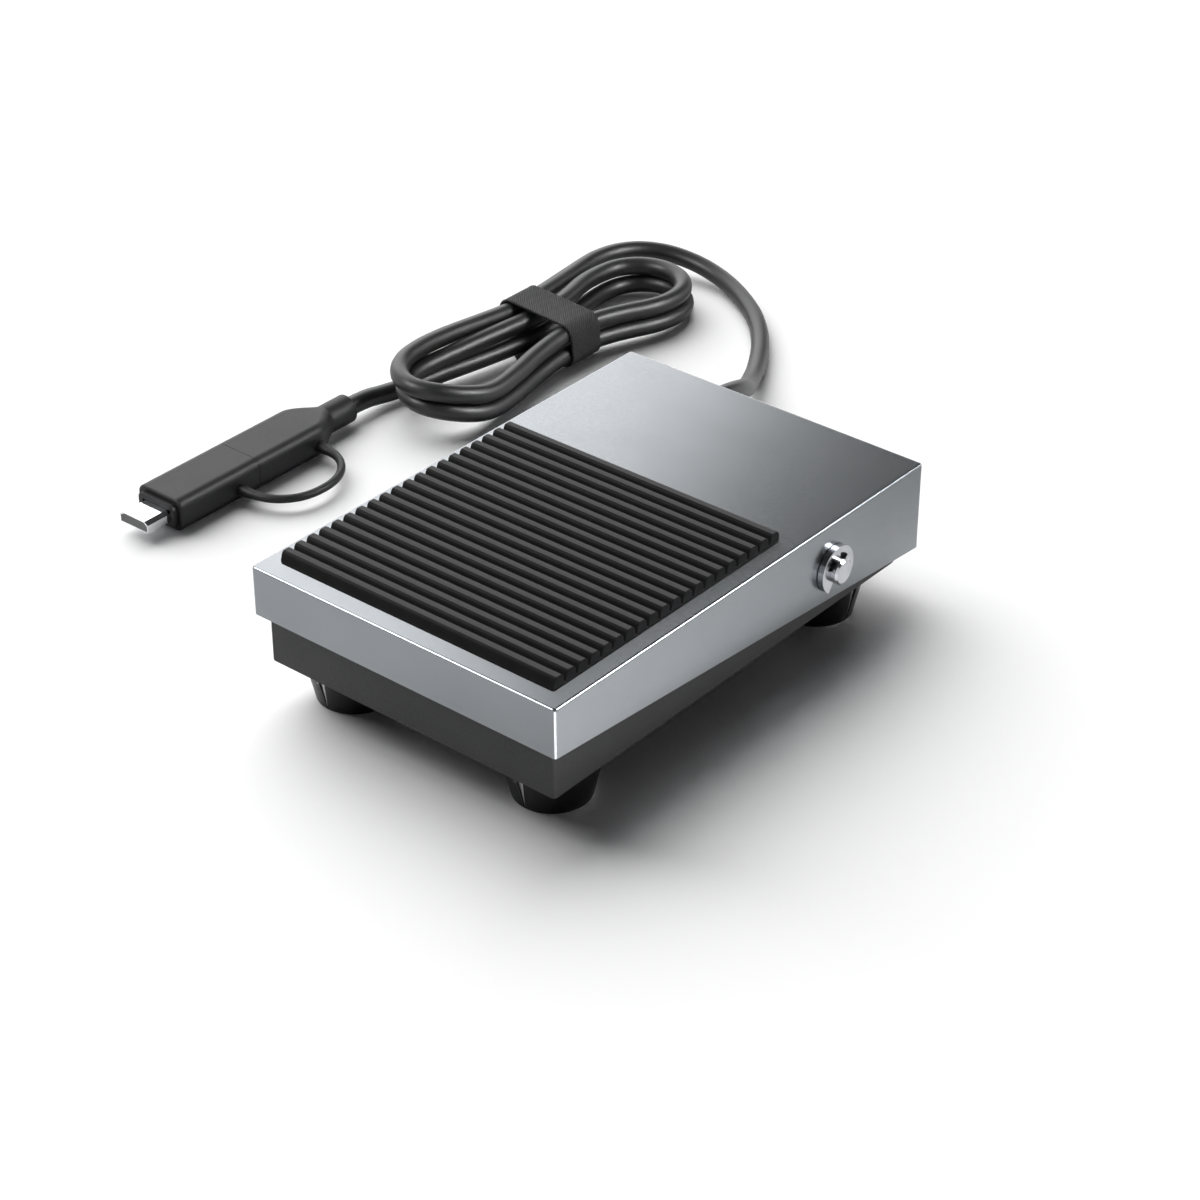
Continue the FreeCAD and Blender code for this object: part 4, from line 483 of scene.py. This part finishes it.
# Tether: the thin loop that keeps the adapter on the plug
tetherSetup = {
    "wall": (-87.55, -5.5, 2.8),  # mm, where its front end leaves the adapter
    "width": 22.5,
    "reach": 12.3,
    "radius": 0.85,
    # shares of the reach and of the width
    "shares": ((0, 0), (0.28, 0), (0.62, 0.055), (0.88, 0.195), (1, 0.367), (1, 0.607), (0.86, 0.795),
               (0.594, 0.938), (0.276, 1), (0, 1)),
    "swell": (1.5, 1.12, 1, 1, 1, 1, 1, 1, 1.12, 1.5),  # thicker where it joins the bodies
}


def meshFrom(piece, name, finishName):
    graph = bpy.context.evaluated_depsgraph_get()
    data = bpy.data.meshes.new_from_object(piece.evaluated_get(graph))
    bpy.data.objects.remove(piece)
    mesh = addObject(name, data)
    data.shade_smooth()
    data.materials.clear()
    data.materials.append(finishes[finishName])
    return mesh


def addTether(setup):
    x, y, z = setup["wall"]
    route = [(x + out * setup["reach"], y + along * setup["width"], z) for out, along in setup["shares"]]
    line = smoothLine("tetherLine", route, setup["radius"], setup["swell"])
    tether = meshFrom(line, "tether", "plugSkin")
    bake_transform(tether)
    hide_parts("tether_loop")
    return tether


tether = addTether(tetherSetup)


# Return spring: a coil built at one length; the real one shortens as the treadle comes down
springSetup = {
    "centre": (0, -25.75),  # mm
    "radius": 6.5,
    "wire": 0.55,  # radius
    "turns": 6,
    "steps": 12,  # in each turn
    "closed": 2.1,  # rise of a closed end turn, as multiples of the wire's radius
    "low": 10.88,
    "high": 25.35,
    "keep": 0.73,
}


def addSpring(setup):
    rise = setup["high"] - setup["low"]
    dead = setup["closed"] * setup["wire"]
    route = []
    for step in range(setup["turns"] * setup["steps"] + 1):
        turn = step / setup["steps"]
        share = min(max((turn - 1) / (setup["turns"] - 2), 0), 1)
        ends = min(turn, 1) + max(turn - setup["turns"] + 1, 0)
        height = setup["low"] + dead * ends + (rise - 2 * dead) * share
        angle = 2 * math.pi * turn
        route.append((setup["centre"][0] + setup["radius"] * math.cos(angle),
                      setup["centre"][1] + setup["radius"] * math.sin(angle), height))
    spring = meshFrom(smoothLine("springLine", route, setup["wire"]), "returnSpring", "zincSteel")
    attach(spring, "root")
    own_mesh(spring)
    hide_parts("return_spring")


addSpring(springSetup)
print("tether and spring made")


# Tie strap: a woven band drawn round the strands, its free end flat on the floor
strapSetup = {
    "strands": ((-85.1, 2.95), (-75.0, 2.95), (-75.4, 7.3), (-90.4, 8.2)),  # x, z, against the clock
    "snug": 2.3,  # mm from a strand's middle to the band
    "thick": 0.6,
    "front": 78.9,
    "wide": 9.3,
    "tail": ((-80.3, 71.6), (-76.4, 80.0), (-84.0, 80.0), (-87.2, 76.4)),  # x, y
    "tailRings": ((0.93, 0), (1, 0.3), (1, 0.7), (0.95, 1)),  # size, and height as a share of thick
    "edge": 0.22,
    # the band's cross-section from one edge to its middle: in from the edge, and out from the middle
    "crown": ((0, 0), (0.3, 0.7), (1, 1), (2.4, 0.86)),
    "underside": ((0.3, 0.7), (1, 1)),
    "arcSteps": 12,
    "runSteps": 10,
}


def bandLine(setup, radius):
    spots = [Vector((x, 0, z)) for x, z in setup["strands"]]
    line = []
    for index, spot in enumerate(spots):
        other = spots[(index + 1) % len(spots)]
        past = spots[index - 1]
        first = (spot - past).normalized()
        second = (other - spot).normalized()
        before = Vector((first.z, 0, -first.x))
        after = Vector((second.z, 0, -second.x))
        for step in range(setup["arcSteps"] + 1):
            line.append(spot + before.slerp(after, step / setup["arcSteps"]) * radius)
        nextSecond = after * radius
        for step in range(1, setup["runSteps"]):
            line.append((spot + nextSecond).lerp(other + nextSecond, step / setup["runSteps"]))
    return line


def ringFaces(rings, size, closed=False):
    faces = []
    for ring in range(rings if closed else rings - 1):
        here, there = ring * size, (ring + 1) % rings * size
        for corner in range(size):
            after = (corner + 1) % size
            faces.append((here + corner, here + after, there + after, there + corner))
    if not closed:
        faces.append(tuple(reversed(range(size))))
        faces.append(tuple(range((rings - 1) * size, rings * size)))
    return faces


def buildMesh(name, points, faces, uvs=None):
    data = bpy.data.meshes.new(name)
    data.from_pydata([Vector(p) * mm for p in points], [], faces)
    data.validate()
    if uvs:
        layer = data.uv_layers.new(name="UVMap")
        for loop in data.loops:
            layer.data[loop.index].uv = Vector(uvs[loop.vertex_index]) * mm
    data.shade_smooth()
    return addObject(name, data)


def bandSection(setup):
    half, edge = setup["thick"] / 2, setup["edge"]
    low, high = setup["front"], setup["front"] + setup["wide"]
    upper = [(low + edge * inward, half * out) for inward, out in setup["crown"]]
    upper += [(high - edge * inward, half * out) for inward, out in reversed(setup["crown"])]
    lower = [(high - edge * inward, -half * out) for inward, out in setup["underside"]]
    lower += [(low + edge * inward, -half * out) for inward, out in reversed(setup["underside"])]
    return upper + lower


def addStrap(setup):
    middle = bandLine(setup, setup["snug"] + setup["thick"] / 2)
    section = bandSection(setup)
    points, uvs, run = [], [], 0
    count = len(middle)
    for index, spot in enumerate(middle):
        past, coming = middle[index - 1], middle[(index + 1) % count]
        along = (coming - past).normalized()
        out = Vector((along.z, 0, -along.x))
        if index:
            run += (spot - middle[index - 1]).length
        for y, lift in section:
            place = spot + out * lift
            points.append((place.x, y, place.z))
            uvs.append((run, y))
    strap = buildMesh("tieStrap", points, ringFaces(count, len(section), closed=True), uvs)
    strap.data.materials.append(finishes["strapWeave"])
    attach(strap, "root")
    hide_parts("tie_strap")
    return strap


def addStrapTail(setup):
    low = setup["strands"][0][1] - setup["snug"] - setup["thick"]
    outline = [Vector((x, y)) for x, y in setup["tail"]]
    centre = sum(outline, Vector((0, 0))) / len(outline)
    points = []
    for share, lift in setup["tailRings"]:
        for corner in outline:
            spot = centre + (corner - centre) * share
            points.append((spot.x, spot.y, low + setup["thick"] * lift))
    faces = ringFaces(len(setup["tailRings"]), len(outline))
    tail = buildMesh("tieStrapEnd", points, faces, [(x, y) for x, y, z in points])
    tail.data.shade_flat()
    tail.data.materials.append(finishes["strapWeave"])
    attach(tail, "root")
    return tail


strap = addStrap(strapSetup)
strapEnd = addStrapTail(strapSetup)
print("strap drawn round the cable")


# Tread pad: a rubber sheet with leaning ribs, hollow behind
padSetup = {
    "half": 31.5,  # mm
    "front": -48.8,
    "sheetLow": 28.35,
    "sheet": 0.45,
    "ribs": 20,
    "pitch": 3.1,
    "wide": 2.65,
    "frontArc": ((0.34, 1.42), (0.82, 1.95), 0.9, 7),  # start, end, radius, steps
    "backArc": ((1.85, 1.95), (2.65, 0.75), 1.05, 9),
    "inset": 0.1,
    "margin": 0.1,
    "valleyRound": 0.1,
    "endRound": 0.1,
    "roundShare": 0.3,  # where a rounding's middle point lies on its two legs
    "sunk": 0.2,  # how far the ribs reach into the sheet
    "corner": 0.5,
    "cornerSteps": 6,
    "sheetRings": ((0, 0), (0, 0.7), (0.05, 0.9), (0.15, 1)),  # inward, height as a share of the sheet
    "ribSharp": 18,  # degrees
    "sheetSharp": 50,
}


def arcPoints(start, stop, radius, count):
    start, stop = Vector(start), Vector(stop)
    half = (stop - start) / 2
    inward = Vector((half.y, -half.x)).normalized()
    centre = start + half + inward * math.sqrt(radius ** 2 - half.length ** 2)
    first, last = start - centre, stop - centre
    opening = -first.angle(last)
    points = []
    for step in range(count + 1):
        angle = opening * step / count
        points.append((centre.x + first.x * math.cos(angle) - first.y * math.sin(angle),
                       centre.y + first.x * math.sin(angle) + first.y * math.cos(angle)))
    return points


def ribProfile(setup):
    ease, wide = setup["valleyRound"], setup["wide"]
    part = ease * setup["roundShare"]
    foot = [(-ease, 0), (-part, part), (0, ease)]
    heel = [(wide, ease), (wide + part, part), (wide + ease, 0)]
    return foot + arcPoints(*setup["frontArc"]) + arcPoints(*setup["backArc"]) + heel


def addPad(setup):
    level = setup["sheetLow"] + setup["sheet"]
    rib = ribProfile(setup)
    start = setup["front"] + setup["margin"]
    line = []
    for number in range(setup["ribs"]):
        line += [(start + number * setup["pitch"] + y, z) for y, z in rib]
    line[0] = (start, 0)
    line[-1] = (line[-1][0] - setup["valleyRound"], 0)
    edge, ease = setup["half"] - setup["inset"], setup["endRound"]
    part = ease * setup["roundShare"]
    stations = [(-edge, -ease), (-edge + part, -part), (-edge + ease, 0)]
    stations += [(-x, drop) for x, drop in reversed(stations)]
    points = []
    for x, drop in stations:
        points += [(x, y, level + max(z + drop * min(1, z), 0)) for y, z in line]
        points += [(x, y, level - setup["sunk"]) for y in (line[-1][0], line[0][0])]
    faces = [tuple(reversed(face)) for face in ringFaces(len(stations), len(line) + 2)]
    ribs = buildMesh("treadRibs", points, faces)
    finishPad(ribs, setup["ribSharp"])
    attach(ribs, "treadle")
    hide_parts("tread_pad")


def finishPad(piece, sharp):
    piece.data.set_sharp_from_angle(angle=math.radians(sharp))
    piece.data.materials.append(finishes["treadRubber"])
    piece.visible_glossy = False


def sheetOutline(setup, rear):
    half, front, corner = setup["half"], setup["front"], setup["corner"]
    steps = setup["cornerSteps"]
    outline = []
    for side, end, begin in ((1, -1, -90), (1, 1, 0), (-1, 1, 90), (-1, -1, 180)):
        x = side * (half - corner)
        y = (rear if end > 0 else front) - end * corner
        for step in range(steps + 1):
            angle = math.radians(begin + 90 * step / steps)
            outline.append((x + corner * math.cos(angle), y + corner * math.sin(angle)))
    return outline


def addPadSheet(setup):
    length = (setup["ribs"] - 1) * setup["pitch"] + setup["wide"] + 2 * setup["margin"]
    middle = setup["front"] + length / 2
    outline = sheetOutline(setup, setup["front"] + length)
    points = []
    for inward, lift in setup["sheetRings"]:
        share = 1 - inward / setup["half"]
        z = setup["sheetLow"] + setup["sheet"] * lift
        points += [(x * share, middle + (y - middle) * share, z) for x, y in outline]
    sheet = buildMesh("treadSheet", points, ringFaces(len(setup["sheetRings"]), len(outline)))
    finishPad(sheet, setup["sheetSharp"])
    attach(sheet, "treadle")


addPad(padSetup)
addPadSheet(padSetup)
print("tread pad made")


# Floor and lights: white paper floor, a broad lamp from the left and a card that the metal mirrors
lightSetup = {
    "sunFrom": (-111, 37),  # azimuth, elevation
    "sunSpread": 82,
    "sunPower": 5.5,
    "sky": 0.04,
    "floorHalf": 4000,  # mm
    "floorLow": -0.02,
    "floorBounce": (0.42, 0.42, 0.42, 1),
    "aim": (0, 0, 28),
    # azimuth and elevation, distance and size in mm, light at both sides, tilt of its fade, width of it
    "cards": {
        "plateCard": ((219.73, 32.5), 500, (800, 560), (2.9, 0.0), -30, 0.06),
        "frontEdgeCard": ((-45, 40), 500, (240, 200), (14.0, 14.0), 0, 1),
        "rightEdgeCard": ((128, 34), 485, (200, 160), (34.0, 34.0), 0, 1),
    },
    # place and size in mm, then the same
    "levelCards": {
        "rightFloorCard": ((78, 20, 1), (60, 200), (0.45, 2.1), 90, 1),
        "cornerFloorCard": ((64, -76, 1), (20, 44), (9.0, 9.0), 90, 1),
        "darkCeiling": ((0, 0, 640), (2600, 2600), (0.05, 0.05), 90, 1),
    },
}
cardCorners = ((-1, -1), (1, -1), (1, 1), (-1, 1))


def seenDirectly(tree):
    rays = addNode(tree, "ShaderNodeLightPath")
    total = rays.outputs["Is Camera Ray"]
    for name in ("Is Glossy Ray", "Is Transmission Ray"):
        both = addNode(tree, "ShaderNodeMath", operation="MAXIMUM")
        tree.links.new(total, both.inputs[0])
        tree.links.new(rays.outputs[name], both.inputs[1])
        total = both.outputs[0]
    return total


def mixShaders(tree, share, first, second):
    blend = addNode(tree, "ShaderNodeMixShader")
    for socket, source in zip(blend.inputs, (share, first, second)):
        tree.links.new(source, socket)
    return blend.outputs[0]


def bareMaterial(name):
    material = bpy.data.materials.new(name)
    material.use_nodes = True
    tree = material.node_tree
    tree.nodes.clear()
    return material, tree, addNode(tree, "ShaderNodeOutputMaterial").inputs["Surface"]


def addFloor(setup):
    half = setup["floorHalf"]
    corners = [(x * half, y * half, setup["floorLow"]) for x, y in cardCorners]
    floor = buildMesh("paperFloor", corners, [(0, 1, 2, 3)])
    paper, tree, surface = bareMaterial("paperFloor")
    bounce = addNode(tree, "ShaderNodeBsdfDiffuse", {"Color": setup["floorBounce"]}).outputs[0]
    white = addNode(tree, "ShaderNodeBsdfDiffuse", {"Color": (1, 1, 1, 1)}).outputs[0]
    clear = addNode(tree, "ShaderNodeBsdfTransparent").outputs[0]
    seen = mixShaders(tree, seenDirectly(tree), bounce, white)
    below = addNode(tree, "ShaderNodeNewGeometry").outputs["Backfacing"]
    tree.links.new(mixShaders(tree, below, seen, clear), surface)
    floor.data.materials.append(paper)


def addSky(setup):
    world = bpy.data.worlds.new("studio")
    bpy.context.scene.world = world
    world.use_nodes = True
    world.cycles.sampling_method = "NONE"
    tree = world.node_tree
    background = tree.nodes["Background"]
    background.inputs["Color"].default_value = (1, 1, 1, 1)
    spread = addNode(tree, "ShaderNodeMapRange", {"To Min": setup["sky"], "To Max": 1})
    tree.links.new(seenDirectly(tree), spread.inputs["Value"])
    tree.links.new(spread.outputs["Result"], background.inputs["Strength"])


def addSun(setup):
    data = bpy.data.lights.new("broadLamp", "SUN")
    data.energy = setup["sunPower"]
    data.angle = math.radians(setup["sunSpread"])
    lamp = addObject("broadLamp", data)
    lamp.rotation_mode = "QUATERNION"
    lamp.rotation_quaternion = (-towards(*setup["sunFrom"])).to_track_quat("-Z", "Y")
    lamp.visible_glossy = False


def addCard(name, size, strengths, tilt, fade):
    wide, high = size
    corners = [(x * wide / 2, y * high / 2, 0) for x, y in cardCorners]
    spread = [((x + 1) / 2 / mm, (y + 1) / 2 / mm) for x, y in cardCorners]
    card = buildMesh(name, corners, [(0, 1, 2, 3)], spread)
    glow, tree, surface = bareMaterial(name)
    light = addNode(tree, "ShaderNodeEmission")
    centred = addNode(tree, "ShaderNodeMapping", {"Location": (-0.5, -0.5, 0)}, vector_type="POINT")
    turn = addNode(tree, "ShaderNodeMapping", {"Rotation": (0, 0, math.radians(tilt))})
    split = addNode(tree, "ShaderNodeSeparateXYZ")
    tree.links.new(addNode(tree, "ShaderNodeUVMap").outputs["UV"], centred.inputs["Vector"])
    tree.links.new(centred.outputs["Vector"], turn.inputs["Vector"])
    tree.links.new(turn.outputs["Vector"], split.inputs["Vector"])
    strength = addRange(tree, split.outputs["X"], *strengths, -fade / 2, fade / 2)
    tree.links.new(strength, light.inputs["Strength"])
    tree.links.new(light.outputs[0], surface)
    card.data.materials.append(glow)
    for kind in ("camera", "diffuse", "transmission", "volume_scatter", "shadow"):
        setattr(card, "visible_" + kind, False)
    return card


def addCards(setup):
    for name, (source, away, *look) in setup["cards"].items():
        card = addCard(name, *look)
        way = towards(*source)
        card.location = (Vector(setup["aim"]) + way * away) * mm
        card.rotation_mode = "QUATERNION"
        card.rotation_quaternion = (-way).to_track_quat("Z", "Y")
    for name, (place, *look) in setup["levelCards"].items():
        card = addCard(name, *look)
        card.location = Vector(place) * mm


addFloor(lightSetup)
addSky(lightSetup)
addSun(lightSetup)
addCards(lightSetup)
bpy.context.scene.view_settings.view_transform = "Standard"
print("floor and lights set")
